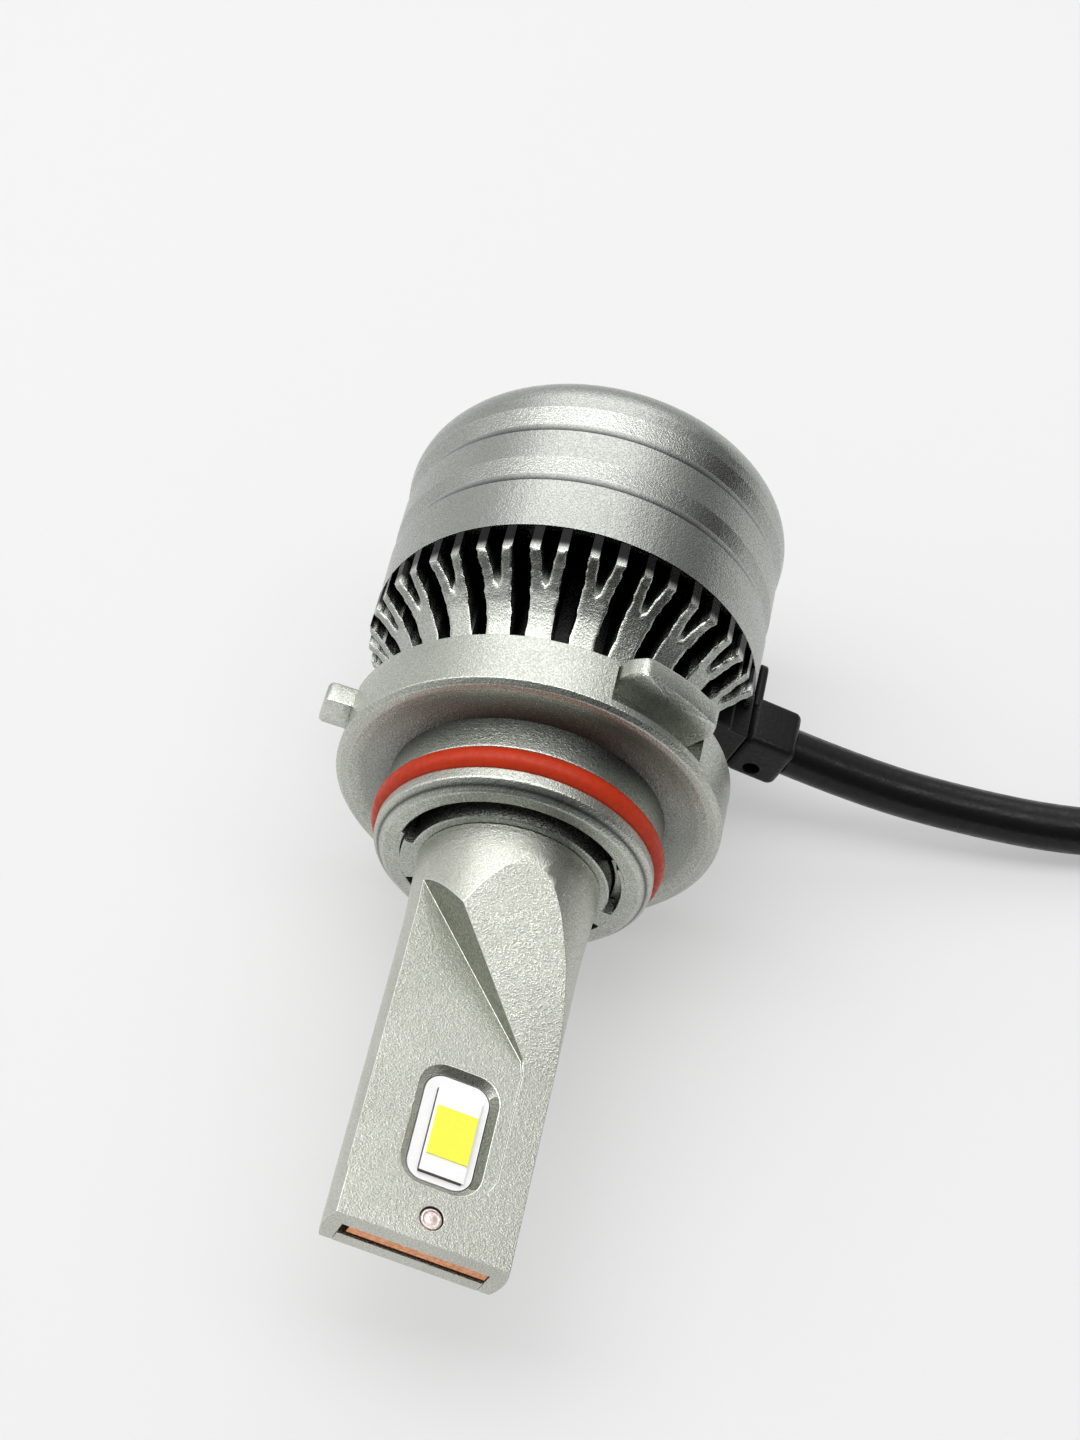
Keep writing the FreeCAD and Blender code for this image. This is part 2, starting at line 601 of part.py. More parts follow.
def light_window(body, face, front):
    """The bevelled window over a light source, cut inwards from a face at that height."""
    start = s.stem_half_height + OVERLAP
    opening = new_sketch(body, "XZ_Plane", -start if front else start)
    rounded(opening, s.window_width, s.window_length, s.window_corner, s.window_position)
    pocket(body, opening, s.stem_half_height, reverse=front)
    bevel = new_sketch(body, "XZ_Plane", -face if front else face)
    rounded(bevel, s.window_width + s.window_bevel * 2, s.window_length + s.window_bevel * 2,
            s.window_corner + s.window_bevel, s.window_position)
    cut = pocket(body, bevel, s.window_bevel, reverse=front)
    cut.TaperAngle = -45


def rounded(sketch, width, length, corner, z):
    """A rectangle with round corners, centred on the axis at z."""
    x = width / 2
    y = length / 2
    outline(sketch, [
        (corner - x, z - y, corner), (x - corner, z - y), (x, z - y + corner, corner),
        (x, z + y - corner), (x - corner, z + y, corner), (corner - x, z + y),
        (-x, z + y - corner, corner), (-x, z - y + corner),
    ])


def stem_back_plate():
    """The plate let into the back of the stem, with the second light's window."""
    body = new_body("stem_back_plate", turned(s.stem_roll))
    face = -s.stem_half_height
    slab = new_sketch(body, "XY_Plane", s.stem_tip)
    width = s.slot_width - s.plate_gap
    rectangle(slab, width, s.plate_thickness, 0.0, face + s.plate_thickness / 2)
    pad(body, slab, s.stem_tip - s.channel_start - s.plate_gap, reverse=True)
    light_window(body, s.stem_half_height, False)
    hole = new_sketch(body)
    circle(hole, s.rivet_offset, s.rivet_position, s.rivet_hole_radius)
    pocket(body, hole, both=True)


def copper_core():
    """The copper strip that carries heat from both boards down the stem."""
    body = new_body("copper_core", turned(s.stem_roll))
    strip = new_sketch(body, "XY_Plane", s.stem_tip - s.copper_setback)
    middle = s.slot_top - s.copper_thickness / 2
    rectangle(strip, s.copper_width, s.copper_thickness, s.copper_offset, middle)
    pad(body, strip, s.copper_length, reverse=True)
    hole = new_sketch(body)
    circle(hole, s.rivet_offset, s.rivet_position, s.rivet_hole_radius)
    pocket(body, hole, both=True)


def light_source(name, side, height):
    """A white board, its light package and the yellow phosphor, stacked on the copper."""
    board = new_body(f"led_board_{name}", across(0, s.window_position, side))
    plan = new_sketch(board, "XY_Plane", height)
    width = s.window_width - s.board_clearance * 2
    length = s.window_length - s.board_clearance * 2
    rounded(plan, width, length, s.window_corner - s.board_clearance, 0.0)
    pad(board, plan, s.board_thickness)
    top = height + s.board_thickness
    package = new_body(f"led_package_{name}", across(0, s.window_position, side))
    plan = new_sketch(package, "XY_Plane", top)
    rectangle(plan, s.package_width, s.package_length, s.package_offset, -s.light_slide)
    pad(package, plan, s.package_height)
    phosphor = new_body(f"led_phosphor_{name}", across(0, s.window_position, side))
    plan = new_sketch(phosphor, "XY_Plane", top + s.package_height)
    rectangle(plan, s.phosphor_width, s.phosphor_length, s.phosphor_offset, -s.light_slide)
    pad(phosphor, plan, s.phosphor_height)


def tip_rivet():
    """The rivet through the tip that clamps the plate, the copper and the front wall together."""
    body = new_body("tip_rivet", across(s.rivet_offset, s.rivet_position))
    end = s.stem_half_height - 0.1
    profile = new_sketch(body)
    outline(profile, [
        (0, -end), (s.rivet_radius, -end), (s.rivet_radius, end), (s.rivet_radius / 2, end),
        (s.rivet_radius / 3, end - 0.3), (0, end - 0.3),
    ])
    revolve(body, profile)


# --------------------------------------------------------------------------------------- the head
def head_shell():
    """The turned cover round the fan: a barrel with two stepped grooves and a rounded back."""
    body = new_body("head_shell", turned(0))
    one = -s.groove_one
    two = -s.groove_two
    round_start = s.rear_round - s.shell_rear
    back = s.shell_radius + s.rear_growth
    inner_back = s.rear_wall - s.shell_rear
    opening = ring_inner + s.rear_margin
    middle = s.shell_radius + s.barrel_growth
    profile = new_sketch(body)
    outline(profile, [
        (shell_inner, -s.shell_front), (shell_inner, round_start + 1),
        (back - s.rear_round + s.rear_inner_round, inner_back), (opening, inner_back),
        (opening, -s.shell_rear), (back - s.rear_round, -s.shell_rear),
        (back, round_start, s.rear_round), (back - 0.1, two - s.groove_flat - s.groove_bevel),
        (middle - s.groove_step - 0.05, two - s.groove_flat),
        (middle - s.groove_step, two - 0.1), (middle, two),
        (middle, one - s.groove_flat - s.groove_bevel),
        (middle - s.groove_step - 0.05, one - s.groove_flat),
        (middle - s.groove_step, one - 0.1), (middle, one),
        (s.shell_radius, -s.shell_front),
    ])
    revolve(body, profile)
    notch = new_sketch(body, "XY_Plane", PAST - s.shell_front, s.outlet_angle)
    rectangle(notch, s.shell_radius, s.notch_half_width * 2, s.shell_radius, 0.0)
    pocket(body, notch, s.notch_depth + PAST)
    seat = new_sketch(body, "XY_Plane", -s.shell_rear, s.screw_start_angle)
    circle(seat, screw_circle, 0, s.screw_head_radius + 0.1)
    seats = pocket(body, seat, s.screw_sink, reverse=True)
    hole = new_sketch(body, "XY_Plane", -s.shell_rear, s.screw_start_angle)
    circle(hole, screw_circle, 0, s.screw_radius + s.fit_clearance)
    holes = pocket(body, hole, s.rear_round, reverse=True)
    pattern(body, [seats, holes], 3)


def fan_frame():
    """The fan's moulded ring with its flange, screw ears, three spokes and motor plate."""
    body = new_body("fan_frame", turned(0))
    front = -s.fan_front
    outer = ring_outer
    flange = shell_inner - s.shell_seat
    profile = new_sketch(body)
    outline(profile, [
        (ring_inner, front), (ring_inner, -s.fan_rear), (outer, -s.fan_rear),
        (outer, front - s.fan_flange_thickness), (flange, front - s.fan_flange_thickness),
        (flange, front),
    ])
    revolve(body, profile)
    plate = new_sketch(body, "XY_Plane", front)
    circle(plate, 0, 0, s.motor_plate_radius)
    pad(body, plate, s.motor_plate_thickness, reverse=True)
    spoke = new_sketch(body, "XY_Plane", front, s.screw_start_angle)
    reach = ring_inner + 0.3
    root = s.motor_plate_radius - OVERLAP
    rectangle(spoke, reach - root, s.spoke_width, (reach + root) / 2, 0.0)
    arm = pad(body, spoke, s.motor_plate_thickness, reverse=True)
    ear = new_sketch(body, "XY_Plane", front, s.screw_start_angle)
    circle(ear, screw_circle, 0, s.ear_radius)
    tower = pad(body, ear, s.fan_rear - s.fan_front, reverse=True)
    pattern(body, [arm, tower], s.spoke_count)
    boss = new_sketch(body, "XY_Plane", front - s.motor_plate_thickness)
    circle(boss, 0, 0, s.boss_radius)
    pad(body, boss, s.boss_length, reverse=True)
    bore = new_sketch(body, "XY_Plane", front - s.motor_plate_thickness)
    circle(bore, 0, 0, s.bearing_radius)
    pocket(body, bore, s.boss_length)
    screw_hole = new_sketch(body, "XY_Plane", front, s.screw_start_angle)
    circle(screw_hole, screw_circle, 0, s.screw_radius + s.fit_clearance)
    holes = pocket(body, screw_hole)
    pattern(body, [holes], 3)


def fan_impeller():
    """The fan wheel: a cup with a boss for the shaft and pitched blades round it."""
    body = new_body("fan_impeller", turned(0))
    front = -s.fan_front - s.motor_plate_thickness - s.rotor_gap
    rear = -s.rotor_rear
    inner = s.rotor_hub_radius - s.rotor_wall
    profile = new_sketch(body)
    outline(profile, [
        (s.shaft_radius, rear), (s.rotor_hub_radius - 0.5, rear), (s.rotor_hub_radius, rear + 0.5),
        (s.rotor_hub_radius, front), (inner, front), (inner, rear + s.rotor_wall),
        (s.shaft_radius * 2, rear + s.rotor_wall), (s.shaft_radius * 2, rear + s.rotor_wall * 1.6),
        (s.shaft_radius, rear + s.rotor_wall * 1.6),
    ])
    revolve(body, profile)
    middle = (front + rear) / 2
    sections = []
    root = s.rotor_hub_radius - s.rotor_wall / 2
    for radius, pitch in ((root, s.blade_root_pitch), (blade_tip, s.blade_tip_pitch)):
        section = new_sketch(body, "YZ_Plane", radius)
        blade_section(section, middle, pitch)
        sections.append(section)
    blade = body.newObject("PartDesign::AdditiveLoft", "blade")
    blade.Profile = sections[0]
    blade.Sections = [sections[1]]
    blade.Ruled = True
    pattern(body, [blade], s.blade_count)


def blade_section(sketch, z, pitch):
    """A blade's flat section about the point (0, z), pitched from the fan's plane."""
    along = Size(math.cos(math.radians(pitch)), f"cos({written(pitch)} * 1 deg)") * (s.blade_chord / 2)
    rise = Size(math.sin(math.radians(pitch)), f"sin({written(pitch)} * 1 deg)") * (s.blade_chord / 2)
    half = s.blade_thickness / 2
    outline(sketch, [
        (-along, z - rise - half), (along, z + rise - half), (along, z + rise + half),
        (-along, z - rise + half),
    ])


def ring(name, inner, outer, back, front, angle=0):
    """A plain turned ring or, with no inner radius, a disc."""
    body = new_body(name, turned(angle))
    profile = new_sketch(body)
    outline(profile, [(inner, back), (outer, back), (outer, front), (inner, front)])
    revolve(body, profile)
    return body


def motor():
    """What is inside the fan's hub: bearing, stator, shaft, steel yoke and ring magnet."""
    seat = -s.fan_front - s.motor_plate_thickness
    ring("fan_bearing", s.shaft_radius + s.shaft_clearance, s.bearing_radius - s.fit_clearance / 3,
         seat - s.boss_length, seat)
    ring("fan_shaft", Size(0), s.shaft_radius - 0.001, -s.rotor_rear, seat - 0.1)
    yoke = s.rotor_hub_radius - s.rotor_wall
    magnet = yoke - s.yoke_thickness
    rotor_front = seat - s.rotor_gap
    rotor_back = s.rotor_wall - s.rotor_rear
    ring("rotor_yoke", magnet, yoke, rotor_back, rotor_front)
    ring("rotor_magnet", magnet - s.magnet_thickness, magnet, rotor_back + 0.4, rotor_front)
    stator = new_body("fan_stator", turned(0))
    core = new_sketch(stator, "XY_Plane", seat - 0.6)
    circle(core, 0, 0, s.boss_radius + s.stator_core)
    circle(core, 0, 0, s.boss_radius + s.fit_clearance)
    pad(stator, core, s.stator_length, reverse=True)
    pole = new_sketch(stator, "XY_Plane", seat - 0.6)
    shoe = s.stator_radius - 0.5
    outline(pole, [
        (s.boss_radius + 0.2, -0.4), (shoe, -0.4), (shoe, -1.5), (s.stator_radius - 0.2, -1.3),
        (s.stator_radius - 0.2, 1.3), (shoe, 1.5), (shoe, 0.4), (s.boss_radius + 0.2, 0.4),
    ])
    first = pad(stator, pole, s.stator_length, reverse=True)
    pattern(stator, [first], 4)


def fan_screws():
    """Three screws that clamp the shell and the fan to the heat sink."""
    body = new_body("fan_screws", turned(0))
    seat = s.screw_sink - s.shell_rear
    head = new_sketch(body, "XY_Plane", seat, s.screw_start_angle)
    circle(head, screw_circle, 0, s.screw_head_radius)
    cap = pad(body, head, s.screw_head_length, reverse=True)
    shank = new_sketch(body, "XY_Plane", seat, s.screw_start_angle)
    circle(shank, screw_circle, 0, s.screw_radius)
    pin = pad(body, shank, s.screw_length)
    cross = new_sketch(body, "XY_Plane", seat - s.screw_head_length, s.screw_start_angle)
    rectangle(cross, s.screw_head_radius, s.screw_slot, screw_circle, 0.0)
    slot = pocket(body, cross, 0.5, reverse=True)
    upright = new_sketch(body, "XY_Plane", seat - s.screw_head_length, s.screw_start_angle)
    rectangle(upright, s.screw_slot, s.screw_head_radius, screw_circle, 0.0)
    other = pocket(body, upright, 0.5, reverse=True)
    pattern(body, [cap, pin, slot, other], 3)


def driver():
    """The driver board behind the hub with its inductor, capacitors, chips and the lamp wires."""
    hub_back = -s.band_depth - s.hub_gap - s.hub_length
    top = hub_back - s.driver_board_thickness
    board = ring("driver_board", Size(0), board_outer, top, hub_back, s.stem_roll)
    holes = new_sketch(board, "XY_Plane", hub_back)
    for x in (-1, 1):
        circle(holes, s.wire_spacing / 2 * x, 0, s.wire_radius + s.fit_clearance)
    pocket(board, holes, s.driver_board_thickness)
    coil = new_body("driver_inductor", turned(0))
    plan = new_sketch(coil, "XY_Plane", top, s.inductor_angle)
    circle(plan, part_circle, 0, s.inductor_radius)
    pad(coil, plan, s.part_height, reverse=True)
    cans = new_body("driver_capacitors", turned(0))
    plan = new_sketch(cans, "XY_Plane", top, s.capacitor_angle)
    for side in (-1, 1):
        spread = Size(math.radians(s.capacitor_spread), "(Sizes.capacitor_spread * 1 deg)")
        across_it = Size(math.sin(spread), f"sin({spread.text})") * side
        circle(plan, part_circle * Size(math.cos(spread), f"cos({spread.text})"),
               part_circle * across_it, s.capacitor_radius)
    pad(cans, plan, s.part_height, reverse=True)
    chips = new_body("driver_chips", turned(0))
    plan = new_sketch(chips, "XY_Plane", top, s.chip_angle)
    rectangle(plan, s.chip_width, s.chip_length, part_circle, 0.0)
    pad(chips, plan, s.chip_height, reverse=True)
    wires = new_body("led_wires", turned(s.stem_roll))
    plan = new_sketch(wires, "XY_Plane", top)
    for x in (-1, 1):
        circle(plan, s.wire_spacing / 2 * x, 0, s.wire_radius)
    pad(wires, plan, s.stem_tip - s.copper_setback - s.copper_length - top)


# ------------------------------------------------------------------------------ cable and its plug
def cable_outlet():
    """The moulded block that leads the cable out between the fins, and the clamp outside the shell."""
    inner = new_body("cable_outlet", turned(-s.outlet_angle))
    plan = new_sketch(inner, "XY_Plane", -s.outlet_front)
    half = s.outlet_inner_width / 2
    neck = s.clamp_width / 2
    step = shell_inner - 1
    outline(plan, [
        (s.hub_radius + 0.05, -half), (step, -half), (step, -neck), (clamp_inner, -neck),
        (clamp_inner, neck), (step, neck), (step, half), (s.hub_radius + 0.05, half),
    ])
    pad(inner, plan, s.outlet_inner_length, reverse=True)
    clamp = new_body("cable_clamp", turned(-s.outlet_angle))
    plan = new_sketch(clamp, "XY_Plane", -s.outlet_front)
    rectangle(plan, clamp_outer - clamp_inner, s.clamp_width, (clamp_outer + clamp_inner) / 2, 0.0)
    pad(clamp, plan, s.clamp_length, reverse=True)
    finish_edges(clamp, "Fillet", s.clamp_corner, lambda edge, middle: is_line_along(edge, ALONG_X))
    tab = new_sketch(clamp, "XY_Plane", -s.outlet_front - s.clamp_length + OVERLAP)
    rectangle(tab, s.clamp_tab_thickness, s.clamp_tab_width, clamp_inner + s.clamp_tab_thickness / 2,
              neck - s.clamp_tab_width / 2 - 0.05)
    pad(clamp, tab, s.clamp_tab_length + OVERLAP, reverse=True)
    hole = new_sketch(clamp, "XY_Plane", -s.outlet_front)
    circle(hole, clamp_inner + s.clamp_hole_inset, s.clamp_hole_rise - neck, s.clamp_hole_radius)
    pocket(clamp, hole, s.clamp_hole_depth)


def cable_start():
    """Where the cable leaves the clamp's outer face."""
    angle = math.radians(s.outlet_angle)
    middle = s.outlet_front + s.clamp_length / 2
    return Vector(clamp_outer * math.cos(angle), float(middle), clamp_outer * math.sin(angle))


CABLE_ROUTE = [
    (26.95, 15.8, -10.72), (36.0, 16.3, -13.1), (45.0, 16.9, -14.5), (55.0, 19.0, -15.4),
    (67.0, 24.2, -15.42), (78.6, 33.6, -15.45), (93.0, 37.4, -15.45), (107.4, 33.3, -15.45),
    (117.6, 22.2, -14.9), (121.6, 7.4, -12.15), (121.3, -7.6, -12.15),
]


def power_cable():
    """The round cable: straight runs joined by the largest tangent arcs that the runs allow."""
    corners = [cable_start()] + [Vector(*point) for point in CABLE_ROUTE]
    edges = []
    start = corners[0]
    for before, corner, after in zip(corners, corners[1:], corners[2:]):
        incoming = (corner - before).normalize()
        outgoing = (after - corner).normalize()
        half_turn = incoming.getAngle(outgoing) / 2
        tangent = 0.45 * min((corner - before).Length, (after - corner).Length)
        first = corner - incoming * tangent
        last = corner + outgoing * tangent
        sagitta = tangent / math.tan(half_turn) * (1 / math.cos(half_turn) - 1)
        inward = (outgoing - incoming).normalize()
        edges.append(Part.LineSegment(start, first).toShape())
        edges.append(Part.Arc(first, corner + inward * sagitta, last).toShape())
        print(f"cable arc at {corner.x:.0f}, {corner.y:.0f}: radius {tangent / math.tan(half_turn):.1f}")
        start = last
    edges.append(Part.LineSegment(start, corners[-1]).toShape())
    path = Part.Wire(edges)
    radius = float(s.cable_radius)
    mouth = Part.Wire(Part.Circle(corners[0], corners[1] - corners[0], radius).toShape())
    tube = path.makePipeShell([mouth], True, False)
    expected = math.pi * radius ** 2 * path.Length
    print(f"cable length {path.Length:.1f}, volume {tube.Volume:.1f} against {expected:.1f}")
    cable = doc.addObject("Part::Feature", "power_cable")
    cable.Shape = tube
    cable.Label = "power_cable"
    pieces.append(cable)


def plug_place():
    """The plug's frame: its z axis leaves the cable's end, level with the surface below."""
    end = Vector(*CABLE_ROUTE[-1])
    before = Vector(*CABLE_ROUTE[-2])
    heading = end - before
    yaw = math.degrees(math.atan2(heading.y, heading.x))
    return Placement(end, Rotation(Vector(0, 0, 1), yaw + 90) * UPRIGHT)


def plug():
    """The two-pin plug on the cable's end: a tapered boot, a shrouded housing and two flat blades."""
    boot = new_body("plug_boot", plug_place())
    profile = new_sketch(boot)
    outline(profile, [
        (0, 0), (s.cable_radius + 0.3, 0), (s.boot_radius, s.boot_length - 2),
        (s.boot_radius, s.boot_length), (0, s.boot_length),
    ])
    revolve(boot, profile)
    housing = new_body("plug_body", plug_place())
    shell = new_sketch(housing, "XY_Plane", s.boot_length)
    rectangle(shell, s.plug_width, s.plug_height)
    pad(housing, shell, s.plug_length)
    finish_edges(housing, "Fillet", s.plug_corner, lambda edge, middle: is_line_along(edge, ALONG_Z))
    rib = new_sketch(housing, "XY_Plane", s.boot_length + 2)
    rectangle(rib, s.latch_width, s.latch_height, 0.0, s.plug_height / 2 + s.latch_height / 2 - 0.1)
    pad(housing, rib, s.plug_length - s.latch_inset)
    cavity = new_sketch(housing, "XY_Plane", s.boot_length + s.plug_length)
    rectangle(cavity, s.plug_width - s.plug_wall * 2, s.plug_height - s.plug_wall * 2)
    pocket(housing, cavity, s.plug_cavity)
    contacts = new_body("plug_terminals", plug_place())
    plan = new_sketch(contacts, "XY_Plane", s.boot_length + s.plug_length - s.plug_cavity)
    for x in (-1, 1):
        rectangle(plan, s.blade_contact_width, s.blade_contact_thickness, s.contact_spacing / 2 * x)
    pad(contacts, plan, s.blade_contact_length)


base_collar()
base_seal_ring()
heat_sink()
neck_bush()
stem_body()
stem_back_plate()
copper_core()
light_source("front", 0, s.slot_top)
light_source("back", 180, s.copper_thickness - s.slot_top)
tip_rivet()
head_shell()
fan_frame()
fan_impeller()
motor()
fan_screws()
driver()
cable_outlet()
power_cable()
plug()

# -------------------------------------------------------------------------------- check and write
doc.recompute()
for thing in doc.Objects:
    if "Invalid" in thing.State or "Error" in thing.State:
        raise RuntimeError(f"{thing.Label} failed: {thing.State}")
os.makedirs("parts", exist_ok=True)
for piece in pieces:
    if piece.Shape.isNull() or not piece.Shape.isValid():
        raise RuntimeError(f"{piece.Label} has no valid shape")
    piece.Shape.exportStep(f"parts/{piece.Label}.step")
    box = piece.Shape.BoundBox
    reach = f"x {box.XMin:.2f}..{box.XMax:.2f}, y {box.YMin:.2f}..{box.YMax:.2f}"
    print(f"{piece.Label}: {len(piece.Shape.Solids)} solids, volume {piece.Shape.Volume:.1f}, {reach}, "
          f"z {box.ZMin:.2f}..{box.ZMax:.2f}")
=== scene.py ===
# %% [markdown]
# An LED headlight bulb. This script loads the solid model of the bulb and dresses it: it makes the
# camera, the cable, the cast and turned surfaces, and a finish for every piece.

# %% Load the frame
import json
import math
import bmesh
import bpy
import numpy as np
from mathutils import Matrix, Vector


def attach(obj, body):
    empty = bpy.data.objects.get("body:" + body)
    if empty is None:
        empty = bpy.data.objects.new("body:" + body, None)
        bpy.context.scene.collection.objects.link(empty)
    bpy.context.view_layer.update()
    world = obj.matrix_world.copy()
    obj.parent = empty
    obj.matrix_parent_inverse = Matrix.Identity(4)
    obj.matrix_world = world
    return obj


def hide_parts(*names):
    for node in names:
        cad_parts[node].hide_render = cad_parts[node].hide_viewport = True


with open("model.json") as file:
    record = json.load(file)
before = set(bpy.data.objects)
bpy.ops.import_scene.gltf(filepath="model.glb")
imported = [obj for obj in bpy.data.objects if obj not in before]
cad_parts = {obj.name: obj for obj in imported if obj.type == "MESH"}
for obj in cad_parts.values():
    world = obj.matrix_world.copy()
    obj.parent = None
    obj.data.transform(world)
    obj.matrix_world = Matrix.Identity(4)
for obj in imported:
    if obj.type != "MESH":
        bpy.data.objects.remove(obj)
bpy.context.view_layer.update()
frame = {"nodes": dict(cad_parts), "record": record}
nodes = frame["nodes"]
scene = bpy.context.scene
scene.view_settings.view_transform = "Standard"
MM = 0.001
BACKGROUND = 0.855
FLOOR_GLOW = 0.76
DIFFUSE_GLOW = 0.28
FLOOR_HEIGHT = -17.6 * MM
print("loaded", len(nodes), "nodes")

# %% [markdown]
# The camera stands in front of the tip, to its right and well above it, and looks down at the bulb.
# Its place and three directions are a rotation matrix: right, up and back are its columns.

# %% Camera
CAMERA_PLACE = Vector((27.93, -133.2, 188.98)) * MM
RIGHT = Vector((0.980, 0.197, 0.0)).normalized()
UP = Vector((-0.157, 0.778, 0.609)).normalized()
BACK = RIGHT.cross(UP)


def stand(obj, place, right, up, back):
    """Puts an object at a place, with its own x, y and z along right, up and back."""
    obj.matrix_world = Matrix.Translation(place) @ Matrix((right, up, back)).transposed().to_4x4()


camera = bpy.data.objects.new("camera", bpy.data.cameras.new("camera"))
scene.collection.objects.link(camera)
camera.data.lens = 71.0
camera.data.sensor_width = 36.0
camera.data.clip_start = 0.01
stand(camera, CAMERA_PLACE, RIGHT, UP, BACK)
scene.camera = camera
print("camera lens", camera.data.lens)

# %% [markdown]
# The cable is one soft curve through a few listed points, thick as the real sheath. A NURBS
# curve of order 3 cuts smoothly inside its corners, as a bent cable does.

# %% Power cable
CABLE_RADIUS = 2.1 * MM
CABLE_EXIT = (19.837, 15.8, -7.894)
CABLE_ROUTE = np.array([
    CABLE_EXIT,
    (26.95, 15.8, -10.72), (36.0, 16.3, -13.1), (45.0, 16.9, -14.5), (55.0, 19.0, -15.4),
    (67.0, 24.2, -15.42), (78.6, 33.6, -15.45), (93.0, 37.4, -15.45), (107.4, 33.3, -15.45),
    (117.6, 22.2, -14.9), (121.6, 7.4, -12.15), (121.3, -7.6, -12.15),
]) * MM


def smooth_route(points):
    """Points along the NURBS line of order 3 that has the given points as its control points."""
    data = bpy.data.curves.new("route", "CURVE")
    data.dimensions = "3D"
    spline = data.splines.new("NURBS")
    spline.points.add(len(points) - 1)
    spline.points.foreach_set("co", np.c_[points, np.ones(len(points))].ravel())
    spline.order_u = 3
    spline.use_endpoint_u = True
    spline.resolution_u = 16
    route = bpy.data.objects.new("route", data)
    line = bpy.data.meshes.new_from_object(route)
    places = np.empty(len(line.vertices) * 3)
    line.vertices.foreach_get("co", places)
    bpy.data.objects.remove(route)
    bpy.data.curves.remove(data)
    bpy.data.meshes.remove(line)
    return places.reshape(-1, 3)


def tube_rings(route, radius, columns=28):
    """Rings of points round a level line: side is tangent x up, and rise is side x tangent."""
    tangent = np.gradient(route, axis=0)
    tangent /= np.linalg.norm(tangent, axis=1, keepdims=True)
    side = np.cross(tangent, (0, 0, 1))
    side /= np.linalg.norm(side, axis=1, keepdims=True)
    rise = np.cross(side, tangent)
    turn = np.linspace(0, math.tau, columns, endpoint=False)[None, :, None]
    sizes = np.full(len(route) + 2, radius)
    sizes[[0, -1]] = 0.0
    ends = np.r_[0, np.arange(len(route)), len(route) - 1]
    ring = np.cos(turn) * side[ends][:, None] + np.sin(turn) * rise[ends][:, None]
    return route[ends][:, None] + ring * sizes[:, None, None]


cable_line = smooth_route(CABLE_ROUTE)
print("cable points", len(cable_line))

# %% [markdown]
# Most new pieces are surfaces that numpy works out as whole arrays of points. A surface is one or
# more grids; their seams are merged at the end, so that each piece is one closed skin.

# %% Surface helpers


class Surface:
    """Gathers grids of points with a value each of wear and painted light, and turns them into one mesh."""

    def __init__(self):
        self.points = []
        self.faces = []
        self.wear_and_painted_light = []
        self.count = 0

    def grid(self, points, wear_and_painted_light=0.0, wrap=False):
        """Adds a grid of rows x columns points; wrap joins its last column to its first."""
        rows, columns = points.shape[:2]
        i = np.arange(rows - 1)[:, None]
        j = np.arange(columns if wrap else columns - 1)[None, :]
        right = (j + 1) % columns
        corners = np.stack(np.broadcast_arrays(
            i * columns + j, i * columns + right, (i + 1) * columns + right, (i + 1) * columns + j), -1)
        self.points.append(points.reshape(-1, 3))
        self.faces.append(corners.reshape(-1, 4) + self.count)
        self.wear_and_painted_light.append(np.broadcast_to(wear_and_painted_light, points.shape[:2]).ravel())
        self.count += rows * columns

    def make(self, name, sharp=math.radians(35), merge=0.002 * MM):
        """One mesh object at the origin with merged seams and its normals turned outwards."""
        mesh = bpy.data.meshes.new(name)
        mesh.from_pydata(np.concatenate(self.points).tolist(), [], np.concatenate(self.faces).tolist())
        wear_and_painted_light = mesh.attributes.new("wear_and_painted_light", "FLOAT", "POINT")
        wear_and_painted_light.data.foreach_set("value", np.concatenate(self.wear_and_painted_light).astype(np.float32))
        work = bmesh.new()
        work.from_mesh(mesh)
        bmesh.ops.remove_doubles(work, verts=work.verts, dist=merge)
        bmesh.ops.dissolve_degenerate(work, dist=merge / 2, edges=work.edges)
        bmesh.ops.recalc_face_normals(work, faces=work.faces)
        work.to_mesh(mesh)
        work.free()
        mesh.shade_smooth()
        mesh.set_sharp_from_angle(angle=sharp)
        obj = bpy.data.objects.new(name, mesh)
        scene.collection.objects.link(obj)
        return obj


def around(radius, angle, y):
    """Points at a radius and an angle about the bulb's axis, where x = r cos a and z = r sin a."""
    radius, angle, y = np.broadcast_arrays(radius, angle, y)
    return np.stack([radius * np.cos(angle), y, radius * np.sin(angle)], -1)


def turned_ring(surface, profile, start=0.0, stop=math.tau, steps=160, wear_and_painted_light=None):
    """Turns a closed profile of (radius, y) about the axis; a part turn gets flat ends."""
    profile = np.array(profile) * MM
    loop = np.vstack([profile, profile[:1]])
    full = stop - start > math.tau - 1e-6
    angle = np.linspace(start, stop, steps, endpoint=not full)
    wear_and_painted_light = np.zeros(len(loop)) if wear_and_painted_light is None else np.append(wear_and_painted_light, wear_and_painted_light[0])
    surface.grid(around(loop[:, :1], angle, loop[:, 1:]), wear_and_painted_light[:, None], wrap=full)
    if not full:
        middle = profile.mean(0)
        for end in (start, stop):
            rim = around(loop[:, 0], end, loop[:, 1])
            hub = np.broadcast_to(around(middle[0], end, middle[1]), rim.shape)
            surface.grid(np.stack([hub, rim]))


# %% [markdown]
# The cable's skin is one tube along its route.

# %% Cable sheath
cable_skin = Surface()
cable_skin.grid(tube_rings(cable_line, CABLE_RADIUS), wrap=True)
cable = cable_skin.make("power_cable_sheath")
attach(cable, "bulb")
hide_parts("power_cable")
print("cable faces:", len(cable.data.polygons))

# %% [markdown]
# The cooling fins are cast in one piece with the neck. Each fin is a radial plate that forks into
# two prongs near its tip, so that more of it meets the air. The die leaves its edges slightly wavy.
# Each half of a fin is a grid of radius against width, carried back along the axis.

